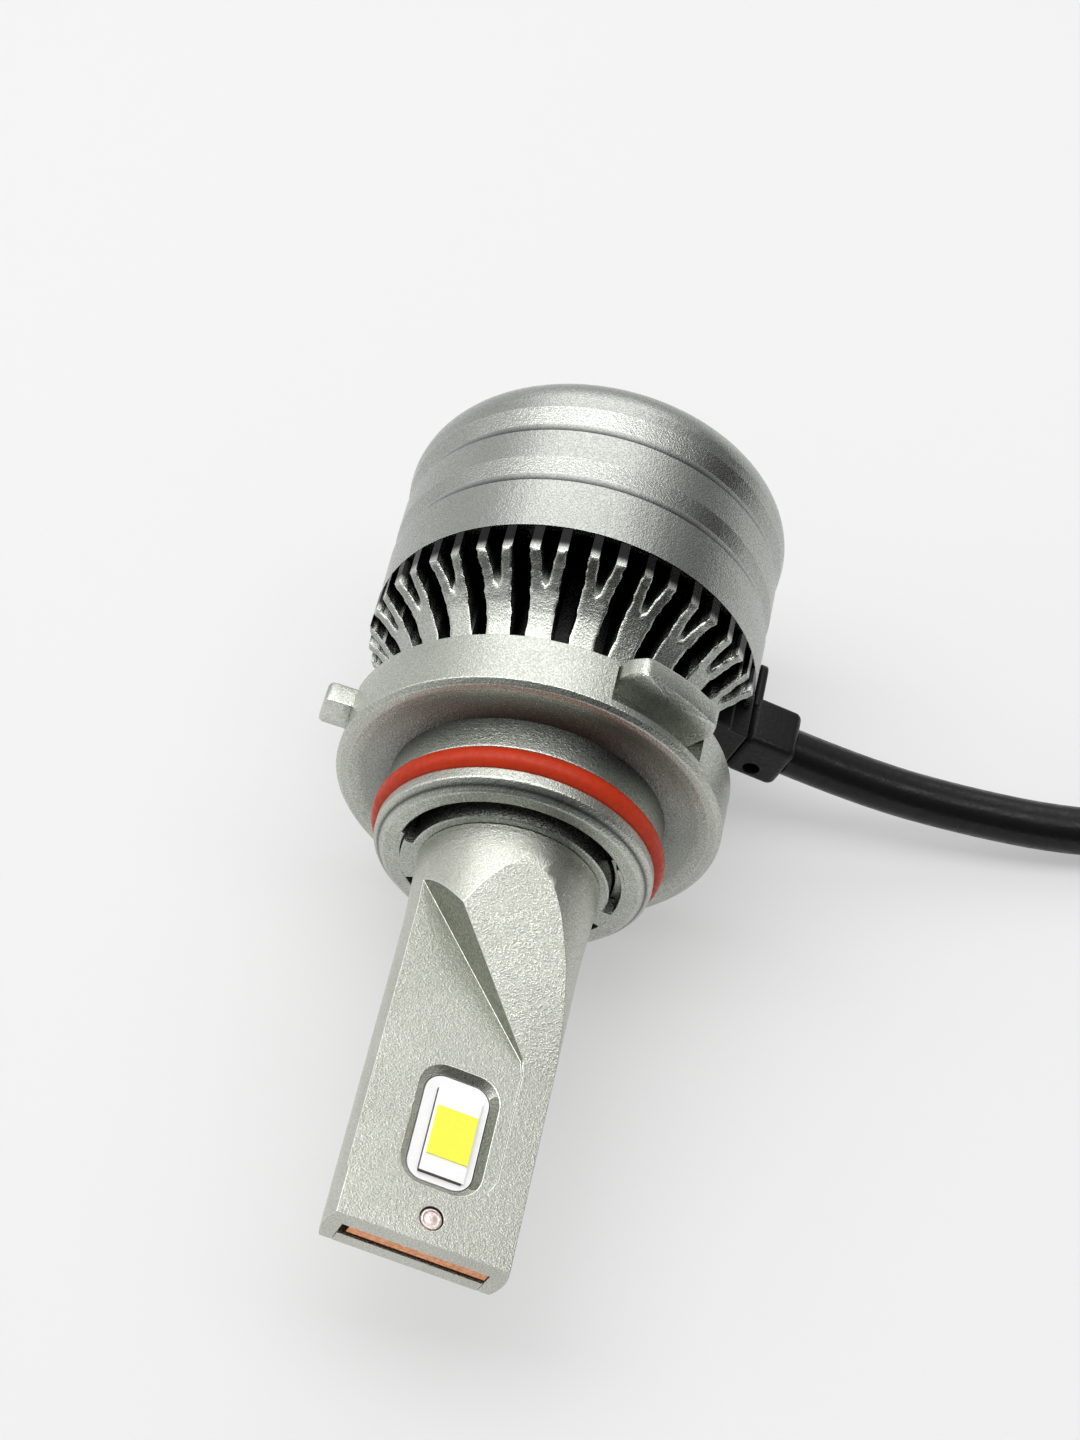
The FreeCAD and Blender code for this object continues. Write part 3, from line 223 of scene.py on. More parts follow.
# %% Cooling fins
FIN_COUNT = 22
FINS_PRESENT = 19
FIRST_FIN = math.radians(11.0)
FIN_ROOT, FIN_FORK, FIN_TIP = 9.6, 14.2, 16.5
FIN_BACK = 20.4
SEAT_FRONT, SEAT_RADIUS = 16.05, 15.85
EDGE = 0.14
# Half widths along the radius, and the painted shade on the prongs' front faces, as radii and the values at
# them.
OUTER_EDGE = [9.6, 12.6, 14.2, 16.5], [0.98, 1.04, 1.16, 1.54]
FORK_EDGE = [14.2, 14.24, 14.38, 14.7, 16.5], [0.0, 0.14, 0.25, 0.32, 0.73]
FACE_PAINTED_SHADE = [13.0, 14.6, 16.5], [0.3, -0.24, -0.26]
# Shares of the width, shares of the way back to the shell's seat, and along that way a bright front edge,
# then painted shade deeper between the fins.
ACROSS = np.array([0.0, 0.12, 0.3, 0.5, 0.7, 0.88, 1.0])
DEPTH = np.array([0.0, 0.06, 0.16, 0.35, 0.65, 1.0])
DEPTH_EDGE_AND_SHADE = np.array([0.8, 0.2, -0.3, -0.7, -1.0, -1.0, -1.0, -1.0])
FIN_STATIONS = np.concatenate([
    np.linspace(FIN_ROOT, FIN_FORK, 22)[:-1], np.linspace(FIN_FORK, FIN_TIP, 14),
])
chance = np.random.default_rng(7)


def bell(radius):
    """Where the fins' front starts at a radius: a hollow quarter bell from the neck to the shell."""
    centre_radius, centre_y, reach = 23.24, 3.66, 12.0
    return centre_y + np.sqrt(np.maximum(reach ** 2 - (radius - centre_radius) ** 2, 1.0))


def waves(along, pitches=(1.9, 0.95, 0.52), heights=(0.04, 0.035, 0.025)):
    """A sum of sine waves with random phases: the uneven edge that the casting die leaves."""
    phases = chance.uniform(0, math.tau, len(pitches))
    return sum(h * np.sin(math.tau * along / p + f) for p, h, f in zip(pitches, heights, phases))


def half_fin(surface, angle, side, ripple):
    """One side of a fin. Across it, width runs from the fork's edge to the outer edge; along it,
    the radius runs from root to tip; the front follows the bell and rounds off at both edges."""
    radius = FIN_STATIONS
    forked = radius >= FIN_FORK
    outer = np.interp(radius, *OUTER_EDGE) + waves(radius)
    inner = np.interp(radius, *FORK_EDGE)
    inner += waves(radius) * 0.6 * (radius > 14.5)
    across = inner[:, None] + (outer - inner)[:, None] * ACROSS
    near_outer = np.clip((across - outer[:, None] + EDGE) / EDGE, 0, 1)
    near_inner = np.clip((inner[:, None] + EDGE - across) / EDGE, 0, 1)
    near_inner *= (radius > FIN_FORK + 0.1)[:, None]
    tip = np.clip((radius - FIN_TIP + EDGE) / EDGE, 0, 1)[:, None]
    near_edge = np.maximum(np.maximum(near_outer, near_inner), tip)
    front = bell(radius)[:, None] + near_edge ** 2 * EDGE + ripple[:, None]

    def place(r, t, y):
        """Turns radius, sideways distance and y into a point."""
        r, t, y = np.broadcast_arrays(r, t, y)
        c, s = math.cos(angle), math.sin(angle)
        return np.stack([r * c - t * side * s, y, r * s + t * side * c], -1) * MM

    face_shade = np.interp(radius, *FACE_PAINTED_SHADE)[:, None]
    # The fronts' edges are lightened by wear and a painted highlight; the prongs' front faces get painted
    # shade.
    surface.grid(place(radius[:, None], across, front), face_shade + (1.0 - face_shade) * near_edge)

    def wall(r, t, start):
        """Carries a row of the front back along the axis, and steps in where the shell sits."""
        y = start[:, None] + (SEAT_FRONT - start[:, None]) * DEPTH
        y = np.hstack([y, np.full((len(y), 2), [SEAT_FRONT + 0.05, FIN_BACK])])
        r = np.broadcast_to(np.reshape(r, (-1, 1)), y.shape).copy()
        r[:, -2:] = np.minimum(r[:, -2:], SEAT_RADIUS)
        return place(r, t[:, None], y)

    # The walls run from a bright front edge into painted shade; the root's wall and the back get full
    # painted shade.
    surface.grid(wall(radius, across[:, -1], front[:, -1]), DEPTH_EDGE_AND_SHADE)
    surface.grid(wall(radius[forked], across[forked, 0], front[forked, 0]), DEPTH_EDGE_AND_SHADE)
    surface.grid(wall(radius[0], across[0], front[0]), -1.0)
    surface.grid(wall(radius[-1], across[-1], front[-1]), DEPTH_EDGE_AND_SHADE)
    surface.grid(place(np.minimum(radius, SEAT_RADIUS)[:, None], across, FIN_BACK), -1.0)


fins = Surface()
for index in range(FINS_PRESENT):
    direction = FIRST_FIN + index * math.tau / FIN_COUNT + chance.normal(0, 0.004)
    ripple = waves(FIN_STATIONS) * 0.5
    half_fin(fins, direction, 1, ripple)
    half_fin(fins, direction, -1, ripple)
cooling_fins = fins.make("cooling_fins")
print("fins:", FINS_PRESENT, "faces:", len(cooling_fins.data.polygons))

# %% [markdown]
# The neck and hub behind the collar are turned, with two lugs on the neck that lock the collar and
# three posts for the screws. Each is a closed profile turned about the axis, in full or in part.

# %% Neck and hub
SMALL = 0.12
NECK_FRONT, NECK_RADIUS, NECK_BORE, BORE_END = -7.3, 8.2, 6.53, 7.7
HUB_FRONT, HUB_BACK, HUB_RADIUS, WIRE_BORE = 4.95, 21.0, 10.6, 3.0


def block_profile(inner, outer, front, back, edge=SMALL):
    """A ring's section: inner and outer radius, front and back, with the outer corners broken."""
    return [(inner, front), (outer - edge, front), (outer, front + edge), (outer, back - edge),
            (outer - edge, back), (inner, back)]


core = Surface()
# The neck darkens with painted shade towards the hub, and the hub behind the collar is in full painted
# shade.
turned_ring(core, [
    (NECK_BORE, NECK_FRONT), (NECK_RADIUS - SMALL, NECK_FRONT), (NECK_RADIUS, NECK_FRONT + SMALL),
    (NECK_RADIUS, HUB_FRONT), (HUB_RADIUS, HUB_FRONT), (HUB_RADIUS, HUB_BACK),
    (WIRE_BORE, HUB_BACK), (WIRE_BORE, BORE_END), (NECK_BORE, BORE_END),
], wear_and_painted_light=np.array([0.1, 0.5, 0.4, -0.6, -0.6, -1.0, -1.0, -1.0, -1.0]))
neck_and_hub = core.make("neck_and_hub")
lugs = Surface()
for middle, half in ((177.4, 16.8), (335.0, 7.0)):
    turned_ring(lugs, block_profile(7.9, 8.97, -7.32, -5.8), math.radians(middle - half),
                math.radians(middle + half), 16, wear_and_painted_light=np.array([0.1, 0.5, 0.4, 0.0, 0.0, 0.0]))
lock_lugs = lugs.make("lock_lugs")
print("neck faces:", len(neck_and_hub.data.polygons))

# %% [markdown]
# The collar is turned from one profile, and its long edges are eased: each corner becomes a short
# curve, (1-t)^2 A + 2t(1-t) P + t^2 B, between two points A and B beside the corner P. A point a
# little further out on each side keeps the flats flat. The eased edges carry wear and a painted
# highlight, so they shine, and some inner corners carry painted shade.

# %% Collar
BAND_RADIUS, BAND_BACK = 16.15, 4.8
RELIEF_RADIUS, RELIEF_FRONT = 14.6, 1.0
LUG_FRONT = 2.9
LIP_RADIUS, LIP_FRONT, GROOVE_RADIUS, LEDGE_BACK = 11.5, -6.7, 10.1, -3.5
WIDE_LUG, LEFT_LUG, LOW_LUG = 48.5, 165.0, 290.0
WIDE_GAP, NARROW_GAP = 17.35, 8.15
WIDE_HALF, NARROW_HALF = 4.61, 1.7
LUG_REACH, LOW_REACH, SHOULDER = 18.4, 18.1, 17.81


def eased(profile, sizes, hold=1.7):
    """A closed outline whose corners with a size become short curves, and a value of wear and painted
    light for each point: the curves are lightened by wear and a painted highlight. A corner without a
    size stays sharp, and a size below zero is the painted shade at it."""
    points, wear_and_painted_light = [], []
    curve = np.linspace(0, 1, 4)[:, None]
    profile = np.array(profile, float)
    befores, afters = np.roll(profile, 1, 0), np.roll(profile, -1, 0)
    for before, corner, after, size in zip(befores, profile, afters, sizes):
        if size <= 0:
            points.append(corner[None])
            wear_and_painted_light.append([size])
            continue
        back = (before - corner) / np.linalg.norm(before - corner)
        on = (after - corner) / np.linalg.norm(after - corner)
        a, b = corner + back * size, corner + on * size
        bend = (1 - curve) ** 2 * a + 2 * curve * (1 - curve) * corner + curve ** 2 * b
        points.append(np.vstack([corner + back * size * hold, bend, corner + on * size * hold]))
        wear_and_painted_light.append([0.0, 0.45, 0.62, 0.62, 0.45, 0.0])
    return np.vstack(points), np.concatenate(wear_and_painted_light)


def turned_eased(surface, profile, sizes, start=0.0, stop=360.0, steps=200):
    """An eased profile turned about the axis, in full or between two angles in degrees."""
    points, wear_and_painted_light = eased(profile, sizes)
    turned_ring(surface, points, math.radians(start), math.radians(stop), steps, wear_and_painted_light)


def lug(surface, corners, sizes, direction):
    """A lug on the band: an outline of (outwards, sideways) carried from its front to its back. Its front
    face and edge are lightened by wear and a painted highlight.
    """
    outline, _ = eased(corners, sizes)
    middle = outline.mean(0)
    scales = np.array([0.0, 0.90, 0.965, 1.0, 1.0, 0.93, 0.0])[:, None, None]
    heights = np.array([0.0, 0.0, 0.06, 0.22, 1.7, 1.9, 1.9])[:, None] + LUG_FRONT
    flat = middle + (outline - middle) * scales
    c, s = math.cos(math.radians(direction)), math.sin(math.radians(direction))
    x = flat[..., 0] * c - flat[..., 1] * s
    z = flat[..., 0] * s + flat[..., 1] * c
    points = np.stack([x, np.broadcast_to(heights, x.shape), z], -1) * MM
    # The front rows are lightened by wear and a painted highlight.
    surface.grid(points, np.array([0.7, 0.7, 0.75, 0.4, 0.0, 0.0, 0.0])[:, None], wrap=True)


collar_skin = Surface()
turned_eased(collar_skin, [
    (9.34, LIP_FRONT), (9.34, LEDGE_BACK), (9.4, LEDGE_BACK), (9.4, BAND_BACK), (RELIEF_RADIUS, BAND_BACK),
    (RELIEF_RADIUS, RELIEF_FRONT), (BAND_RADIUS, RELIEF_FRONT), (BAND_RADIUS, 0.4),
    (15.75, 0.0), (15.1, 0.0), (14.0, 0.3), (12.6, 0.3), (LIP_RADIUS, 0.0),
    (LIP_RADIUS, -2.8), (GROOVE_RADIUS, -2.8), (GROOVE_RADIUS, -4.83), (LIP_RADIUS, -4.83),
    (LIP_RADIUS, -5.83), (11.03, -6.27), (10.57, LIP_FRONT),
], [
    # Sizes of the eased corners; the values below zero are painted shade in the inner corners.
    0.12, -0.5, -0.5, 0.1, 0,
    -0.3, 0, 0.08,
    0.1, 0.15, -0.3, -0.4, -0.5,
    0.12, -0.6, -0.6, 0.12,
    0.14, -0.6, 0.16,
])
edges = [(WIDE_LUG, WIDE_GAP), (LEFT_LUG, NARROW_GAP), (LOW_LUG, NARROW_GAP)]
for (middle, half), (following, next_half) in zip(edges, edges[1:] + [(WIDE_LUG + 360, WIDE_GAP)]):
    turned_eased(collar_skin, [
        (RELIEF_RADIUS - 0.1, RELIEF_FRONT - 0.1), (BAND_RADIUS, RELIEF_FRONT - 0.1),
        (BAND_RADIUS, BAND_BACK), (RELIEF_RADIUS - 0.1, BAND_BACK),
    ], [0, 0, 0.1, 0], middle + half, following - next_half, 70)
for start, stop in ((160.3, 195.0), (329.0, 377.7)):
    # The ramps inside the bore; their last inner corner gets painted shade.
    turned_eased(collar_skin, [
        (9.1, LIP_FRONT), (9.4, LIP_FRONT), (9.4, LEDGE_BACK), (8.4, LEDGE_BACK), (8.4, -5.7), (9.1, -5.7),
    ], [0.06, 0, 0, 0.05, 0.1, -0.4], start, stop, 24)
for direction, reach in ((LEFT_LUG, LUG_REACH), (LOW_LUG, LOW_REACH)):
    lug(collar_skin, [
        (14.0, -NARROW_HALF), (reach, -NARROW_HALF), (reach, NARROW_HALF), (14.0, NARROW_HALF),
    ], [0, 0.6, 0.6, 0], direction)
lug(collar_skin, [
    (13.0, -WIDE_HALF), (SHOULDER - 1.2, -WIDE_HALF), (SHOULDER + 0.1, 0.7 - WIDE_HALF), (LUG_REACH, 0.0),
    (SHOULDER + 0.1, WIDE_HALF - 0.7), (SHOULDER - 1.2, WIDE_HALF), (13.0, WIDE_HALF),
], [0, 0.4, 0.4, 1.8, 0.4, 0.4, 0], WIDE_LUG)
collar = collar_skin.make("collar_turning")
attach(collar, "collar")
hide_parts("base_collar")
print("collar faces:", len(collar.data.polygons))

# %% [markdown]
# Three posts rise behind the fins to carry the fan and the cover. They get full painted shade.

# %% Screw posts
POST_CIRCLE, POST_RADIUS, SCREW_HOLE = 12.65, 1.65, 0.83
POST_FRONT, POST_BACK = 16.5, 25.6
posts = Surface()
for direction in (30, 150, 270):
    turn = np.linspace(0, math.tau, 32, endpoint=False)
    ring_sizes = np.array([SCREW_HOLE, POST_RADIUS, POST_RADIUS, SCREW_HOLE, SCREW_HOLE])[:, None] * MM
    ring_heights = np.array([POST_BACK, POST_BACK, POST_FRONT, POST_FRONT, POST_BACK])[:, None] * MM
    centre = around(POST_CIRCLE * MM, math.radians(direction), 0.0)
    posts.grid(around(ring_sizes, turn, ring_heights) + centre, -1.0, wrap=True)
screw_posts = posts.make("screw_posts")
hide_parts("heat_sink")
for piece in (cooling_fins, neck_and_hub, lock_lugs, screw_posts):
    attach(piece, "bulb")

# %% [markdown]
# The cable clamp is a moulded block with soft edges and a blind hole, and a thin tab that leans on
# the shell. Each is a run of closed outlines along the axis; the first ones line the hole.

# %% Cable clamp
CLAMP_TURN = math.radians(-21.7)
CLAMP_FRONT, CLAMP_BACK, TAB_BACK = 13.4, 18.2, 22.1
CLAMP_MIDDLE, CLAMP_HALF = np.array([19.0, 0.0]), np.array([2.35, 2.65])
TAB_MIDDLE, TAB_HALF = np.array([17.075, 0.9]), np.array([0.425, 1.7])
HOLE_PLACE, HOLE_RADIUS, HOLE_DEPTH = np.array([18.75, -1.15]), 0.75, 2.5


def block_ring(middle, half_size, corner, columns=48):
    """A rounded rectangle of (outwards, sideways): each inner corner plus a circle of that size."""
    turn = (np.arange(columns)[:, None] + 0.5) * math.tau / columns
    circle = np.hstack([np.cos(turn), np.sin(turn)])
    return middle + np.sign(circle) * (half_size - corner) + corner * circle


def along_axis(surface, rings, heights, turn):
    """Outlines at heights y along the axis, turned about it, as one closed skin."""
    flat, y = np.stack(rings), np.array(heights)[:, None]
    x = flat[..., 0] * math.cos(turn) - flat[..., 1] * math.sin(turn)
    z = flat[..., 0] * math.sin(turn) + flat[..., 1] * math.cos(turn)
    surface.grid(np.stack([x, np.broadcast_to(y, x.shape), z], -1) * MM, wrap=True)


def soft_end(middle, half_size, corner, end, inward, ease, squash):
    """Outlines and heights of a rounded end: a quarter circle from the flat end to the full size."""
    rings, heights = [block_ring(middle, half_size - 1.2 * ease * squash, 0.1)], [end]
    for part in np.linspace(0, math.pi / 2, 6):
        inset = ease * (1 - math.sin(part))
        rings.append(block_ring(middle, half_size - inset * squash, max(corner - inset, 0.1)))
        heights.append(end + inward * ease * (1 - math.cos(part)))
    rings.append(block_ring(middle, half_size, corner))
    heights.append(heights[-1] + inward * 0.15)
    return rings, heights


clamp_skin = Surface()
POINT = np.zeros(2)
HOLE_END = CLAMP_FRONT + HOLE_DEPTH
bore = block_ring(HOLE_PLACE, np.full(2, HOLE_RADIUS), HOLE_RADIUS)
front_rings, front_heights = soft_end(CLAMP_MIDDLE, CLAMP_HALF, 0.8, CLAMP_FRONT, 1, 0.65, 1.0)
back_rings, back_heights = soft_end(CLAMP_MIDDLE, CLAMP_HALF, 0.8, CLAMP_BACK, -1, 0.5, 1.0)
along_axis(clamp_skin, [
    block_ring(HOLE_PLACE, POINT, 0.0), bore, bore, *front_rings, *back_rings[::-1],
    block_ring(CLAMP_MIDDLE, POINT, 0.0),
], [
    HOLE_END, HOLE_END, CLAMP_FRONT, *front_heights, *back_heights[::-1], CLAMP_BACK,
], CLAMP_TURN)
tab_rings, tab_heights = soft_end(TAB_MIDDLE, TAB_HALF, 0.35, TAB_BACK, -1, 1.0, np.array([0.3, 1.0]))
tab_middle = block_ring(TAB_MIDDLE, POINT, 0.0)
along_axis(clamp_skin, [
    tab_middle, block_ring(TAB_MIDDLE, TAB_HALF, 0.35), *tab_rings[::-1], tab_middle,
], [CLAMP_BACK - 1.0, CLAMP_BACK - 1.0, *tab_heights[::-1], TAB_BACK], CLAMP_TURN)
clamp = clamp_skin.make("clamp_moulding")
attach(clamp, "bulb")
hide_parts("cable_clamp")
print("clamp faces:", len(clamp.data.polygons))

# %% [markdown]
# Every finish shares a few effects, so each effect is a node group that is built once. A group
# gives out only masks and heights; the shader itself stays in the material.

# %% Node helpers


class Graph:
    """A short way to add nodes to a tree and join their sockets."""

    def __init__(self, tree, clear=True):
        self.tree = tree
        if clear:
            self.tree.nodes.clear()

    def node(self, kind, inputs=None, **settings):
        """Adds a node with its settings; inputs are values or sockets to join."""
        made = self.tree.nodes.new(kind)
        for key, value in settings.items():
            setattr(made, key, value)
        for key, value in (inputs or {}).items():
            self.put(made.inputs[key], value)
        return made

    def put(self, socket, value):
        """Joins a socket to another one, or gives it a value."""
        if isinstance(value, bpy.types.NodeSocket):
            self.tree.links.new(value, socket)
        else:
            socket.default_value = value

    def math(self, operation, a, b=0.0):
        """The result of a sum or a comparison, such as a + b for ADD."""
        return self.node("ShaderNodeMath", {0: a, 1: b}, operation=operation).outputs[0]

    def ramp(self, value, low, high, out_low=0.0, out_high=1.0):
        """Maps low..high to out_low..out_high along a smooth step, and holds the ends."""
        made = self.node("ShaderNodeMapRange", {
            "Value": value, "From Min": low, "From Max": high, "To Min": out_low, "To Max": out_high,
        }, interpolation_type="SMOOTHSTEP")
        return made.outputs["Result"]

    def noise(self, vector, scale, detail=3.0, roughness=0.5):
        """Noise from 0 to 1, with scale bumps to the metre."""
        made = self.node("ShaderNodeTexNoise", {
            "Vector": vector, "Scale": scale, "Detail": detail, "Roughness": roughness,
        })
        return made.outputs["Fac"]

    def blend(self, factor, a, b):
        """The colour a (1 - factor) + b factor."""
        made = self.node("ShaderNodeMix", {0: factor}, data_type="RGBA")
        self.put(made.inputs[6], a)
        self.put(made.inputs[7], b)
        return made.outputs[2]


def new_group(name, inputs, outputs):
    """A shader node group: inputs are name to start value, outputs are names."""
    tree = bpy.data.node_groups.new(name, "ShaderNodeTree")
    for key, value in inputs.items():
        tree.interface.new_socket(key, in_out="INPUT", socket_type="NodeSocketFloat").default_value = value
    for key in outputs:
        tree.interface.new_socket(key, in_out="OUTPUT", socket_type="NodeSocketFloat")
    graph = Graph(tree)
    return graph, graph.node("NodeGroupInput"), graph.node("NodeGroupOutput")


# %% [markdown]
# Bead-blasted metal and moulded plastic both have a skin of tiny dimples, and broad soft patches
# where the skin is a little smoother. One group makes both from noise at two sizes.

# %% Grain group
grain, grain_in, grain_out = new_group("grain", {"Size mm": 0.3}, ["Height", "Fine", "Broad"])
position = grain.node("ShaderNodeTexCoord").outputs["Object"]
per_metre = grain.math("DIVIDE", 1000.0, grain_in.outputs["Size mm"])
fine = grain.noise(position, per_metre, detail=2.0, roughness=0.6)
coarse = grain.noise(position, grain.math("MULTIPLY", per_metre, 0.33), detail=2.0)
broad = grain.noise(position, 160.0, detail=3.0)
height = grain.math("ADD", grain.math("MULTIPLY", fine, 0.65), grain.math("MULTIPLY", coarse, 0.35))
grain.put(grain_out.inputs["Height"], height)
grain.put(grain_out.inputs["Fine"], grain.ramp(fine, 0.35, 0.65))
grain.put(grain_out.inputs["Broad"], grain.ramp(broad, 0.3, 0.7))
print("group made:", grain.tree.name)

# %% [markdown]
# A finish is a colour, a deeper colour for the dimples, a roughness, and the size and strength of
# the grain. Cast metal also reads a value of wear and painted light: its edges are bright from wear and a
# painted highlight, and its gaps are dark with painted shade.

# %% Materials
materials = {}


def finish(name, colour, deep, roughness, metallic=0.0, grain_mm=0.3, bump=0.2, spread=0.08,
           coat=0.0, specular=0.5):
    """A material whose colour goes from deep to colour and whose gloss varies with the grain."""
    material = bpy.data.materials.new(name)
    material.use_nodes = True
    graph = Graph(material.node_tree)
    skin = graph.node("ShaderNodeGroup", node_tree=grain.tree)
    skin.inputs["Size mm"].default_value = grain_mm
    tone = graph.math("ADD", graph.math("MULTIPLY", skin.outputs["Fine"], 0.8),
                      graph.math("MULTIPLY", skin.outputs["Broad"], 0.2))
    base = graph.blend(tone, (*deep, 1), (*colour, 1))
    gloss = graph.ramp(tone, 0.0, 1.0, roughness + spread, roughness - spread)
    normal = graph.node("ShaderNodeBump", {
        "Height": skin.outputs["Height"], "Strength": bump, "Distance": grain_mm * MM,
    }).outputs["Normal"]
    shader = graph.node("ShaderNodeBsdfPrincipled", {
        "Base Color": base, "Roughness": gloss, "Normal": normal, "Metallic": metallic,
        "Coat Weight": coat, "Specular IOR Level": specular,
    })
    graph.node("ShaderNodeOutputMaterial", {"Surface": shader.outputs[0]})
    materials[name] = material
    return material


def worn_and_shaded_metal(name, colour, deep, gap_shade, edge, roughness, grain_mm, bump):
    """Cast metal that is bright on its edges, from wear and a painted highlight, and dark in its deep gaps
    with painted shade, by the value of wear and painted light.
    """
    material = finish(name, colour, deep, roughness, metallic=1.0, grain_mm=grain_mm, bump=bump)
    graph = Graph(material.node_tree, clear=False)
    shader = next(n for n in graph.tree.nodes if n.type == "BSDF_PRINCIPLED")
    wear_and_painted_light = graph.node("ShaderNodeAttribute", attribute_name="wear_and_painted_light").outputs["Fac"]
    base = shader.inputs["Base Color"].links[0].from_socket
    # The edge colour is wear and a painted highlight; the cavity colour is painted shade in the gaps.
    worn_and_highlit = graph.blend(graph.ramp(wear_and_painted_light, 0.5, 1.0), base, (*edge, 1))
    dark = graph.blend(graph.ramp(wear_and_painted_light, 0.0, -0.8), worn_and_highlit, (*gap_shade, 1))
    graph.put(shader.inputs["Base Color"], dark)


CAST = (0.545, 0.56, 0.51)
CAST_DEEP = (0.36, 0.375, 0.345)
finish("cast_aluminium", CAST, CAST_DEEP, 0.30, metallic=1.0, grain_mm=0.13, bump=0.4)
# A lighter finish for rounded edges: wear and a painted highlight.
finish("worn_and_highlit_edge_aluminium", (0.76, 0.77, 0.73), (0.62, 0.63, 0.60), 0.30,
       metallic=1.0, grain_mm=0.17, bump=0.2)
finish("stem_aluminium", (0.655, 0.665, 0.60), (0.40, 0.41, 0.36), 0.34,
       metallic=1.0, grain_mm=0.13, bump=0.48)
# A darker finish for the recess walls: painted shade.
finish("stem_wall_shade", (0.24, 0.25, 0.21), (0.15, 0.16, 0.13), 0.45,
       metallic=1.0, grain_mm=0.17, bump=0.5)
finish("copper", (0.84, 0.40, 0.20), (0.60, 0.25, 0.12), 0.36,
       metallic=1.0, grain_mm=0.25, bump=0.4)
finish("silicone_red", (0.50, 0.034, 0.006), (0.43, 0.026, 0.004), 0.42,
       grain_mm=0.5, bump=0.05, specular=0.25)
finish("rubber_black", (0.02, 0.02, 0.02), (0.010, 0.010, 0.010), 0.6, grain_mm=0.4, bump=0.1)
finish("board_white", (0.90, 0.90, 0.90), (0.86, 0.86, 0.86), 0.35, grain_mm=0.5, bump=0.03)
finish("phosphor", (0.90, 0.89, 0.055), (0.86, 0.86, 0.06), 0.4, grain_mm=0.2, bump=0.05, coat=0.4)
# A dark finish for strips beside the light package, painted shade at its tip end.
finish("package_edge_shade", (0.06, 0.045, 0.045), (0.03, 0.02, 0.02), 0.5)
finish("plastic_black", (0.011, 0.011, 0.011), (0.006, 0.006, 0.006), 0.36,
       grain_mm=0.3, bump=0.2, specular=0.2)
# A lighter finish for the moulding's rounded edges: wear and a painted highlight.
finish("plastic_edge_highlit", (0.02, 0.02, 0.02), (0.012, 0.012, 0.012), 0.34,
       grain_mm=0.3, bump=0.1, specular=0.35)
finish("fan_black", (0.025, 0.025, 0.027), (0.014, 0.014, 0.015), 0.4, grain_mm=0.35, bump=0.1)
finish("cable_black", (0.009, 0.009, 0.009), (0.005, 0.005, 0.005), 0.30,
       grain_mm=0.9, bump=0.06, specular=0.22)
finish("steel", (0.60, 0.60, 0.59), (0.46, 0.46, 0.45), 0.25, metallic=1.0, grain_mm=0.2, bump=0.1)
finish("rivet_metal", (0.95, 0.84, 0.80), (0.78, 0.62, 0.56), 0.34,
       metallic=1.0, grain_mm=0.2, bump=0.2)
finish("electrical_steel", (0.36, 0.36, 0.38), (0.25, 0.25, 0.27), 0.4, metallic=1.0)
finish("magnet", (0.10, 0.10, 0.11), (0.07, 0.07, 0.07), 0.5)
finish("board_green", (0.03, 0.20, 0.08), (0.02, 0.14, 0.06), 0.35, bump=0.05)
finish("ferrite", (0.09, 0.09, 0.10), (0.05, 0.05, 0.06), 0.55)
finish("can_aluminium", (0.72, 0.72, 0.73), (0.62, 0.62, 0.63), 0.3, metallic=1.0)
finish("wire_red", (0.50, 0.03, 0.02), (0.40, 0.02, 0.02), 0.4, bump=0.03)
finish("tin", (0.74, 0.74, 0.72), (0.60, 0.60, 0.58), 0.3, metallic=1.0, bump=0.05)
finish("screw_steel", (0.55, 0.55, 0.55), (0.40, 0.40, 0.40), 0.3, metallic=1.0, bump=0.1)


def dress(obj, material):
    """Gives an object one material."""
    obj.data.materials.clear()
    obj.data.materials.append(material)


for row in frame["record"]["subparts"]:
    node = nodes[row["node"]]
    for slot in node.material_slots:
        slot.material = materials[row["material_slot"]]
dress(cable, materials["cable_black"])
# Colours of the edges, lightened by wear and a painted highlight, and of the painted shade in the gaps.
WORN_EDGE_AND_HIGHLIGHT = (0.76, 0.77, 0.74)
PAINTED_GAP_SHADE = (0.015, 0.015, 0.015)
worn_and_shaded_metal("fin_metal", CAST, CAST_DEEP, PAINTED_GAP_SHADE, WORN_EDGE_AND_HIGHLIGHT, 0.30, 0.15, 0.45)
worn_and_shaded_metal("shell_metal", (0.44, 0.455, 0.425), (0.30, 0.31, 0.287), (0.05, 0.05, 0.05), WORN_EDGE_AND_HIGHLIGHT,
           0.25, 0.15, 0.4)
worn_and_shaded_metal("collar_metal", (0.59, 0.605, 0.548), (0.37, 0.385, 0.345), PAINTED_GAP_SHADE, (0.80, 0.81, 0.77),
           0.32, 0.15, 0.5)
for piece in (cooling_fins, neck_and_hub, lock_lugs, screw_posts):
    dress(piece, materials["fin_metal"])
dress(collar, materials["collar_metal"])
dress(clamp, materials["plastic_black"])
print("finishes:", len(materials))

# %% [markdown]
# The bulb lies on a pale sheet in a pale surround, under four soft area lamps: a broad one above, a
# broad one behind, and two small ones that bring out the stem's facets and the left side.

# %% Floor, world and lamps
FLOOR_REACH = 3.0
FLOOR_NEAR, FLOOR_FAR = 0.25, 1.0
AMBIENT = 0.45
LIGHT_SIDE = tuple(Vector((-0.52, 0.52, 0.68)).normalized())
DARK_SIDE, LIGHT_LEVEL, DARK_ANGLE = 0.02, 0.92, -0.35


def sees_background(graph, rays):
    """1 for camera, mirrored and transmitted rays, and 0 for all others."""
    mirrored_or_through = graph.math("MAXIMUM", rays["Is Glossy Ray"], rays["Is Transmission Ray"])
    return graph.math("MAXIMUM", rays["Is Camera Ray"], mirrored_or_through)


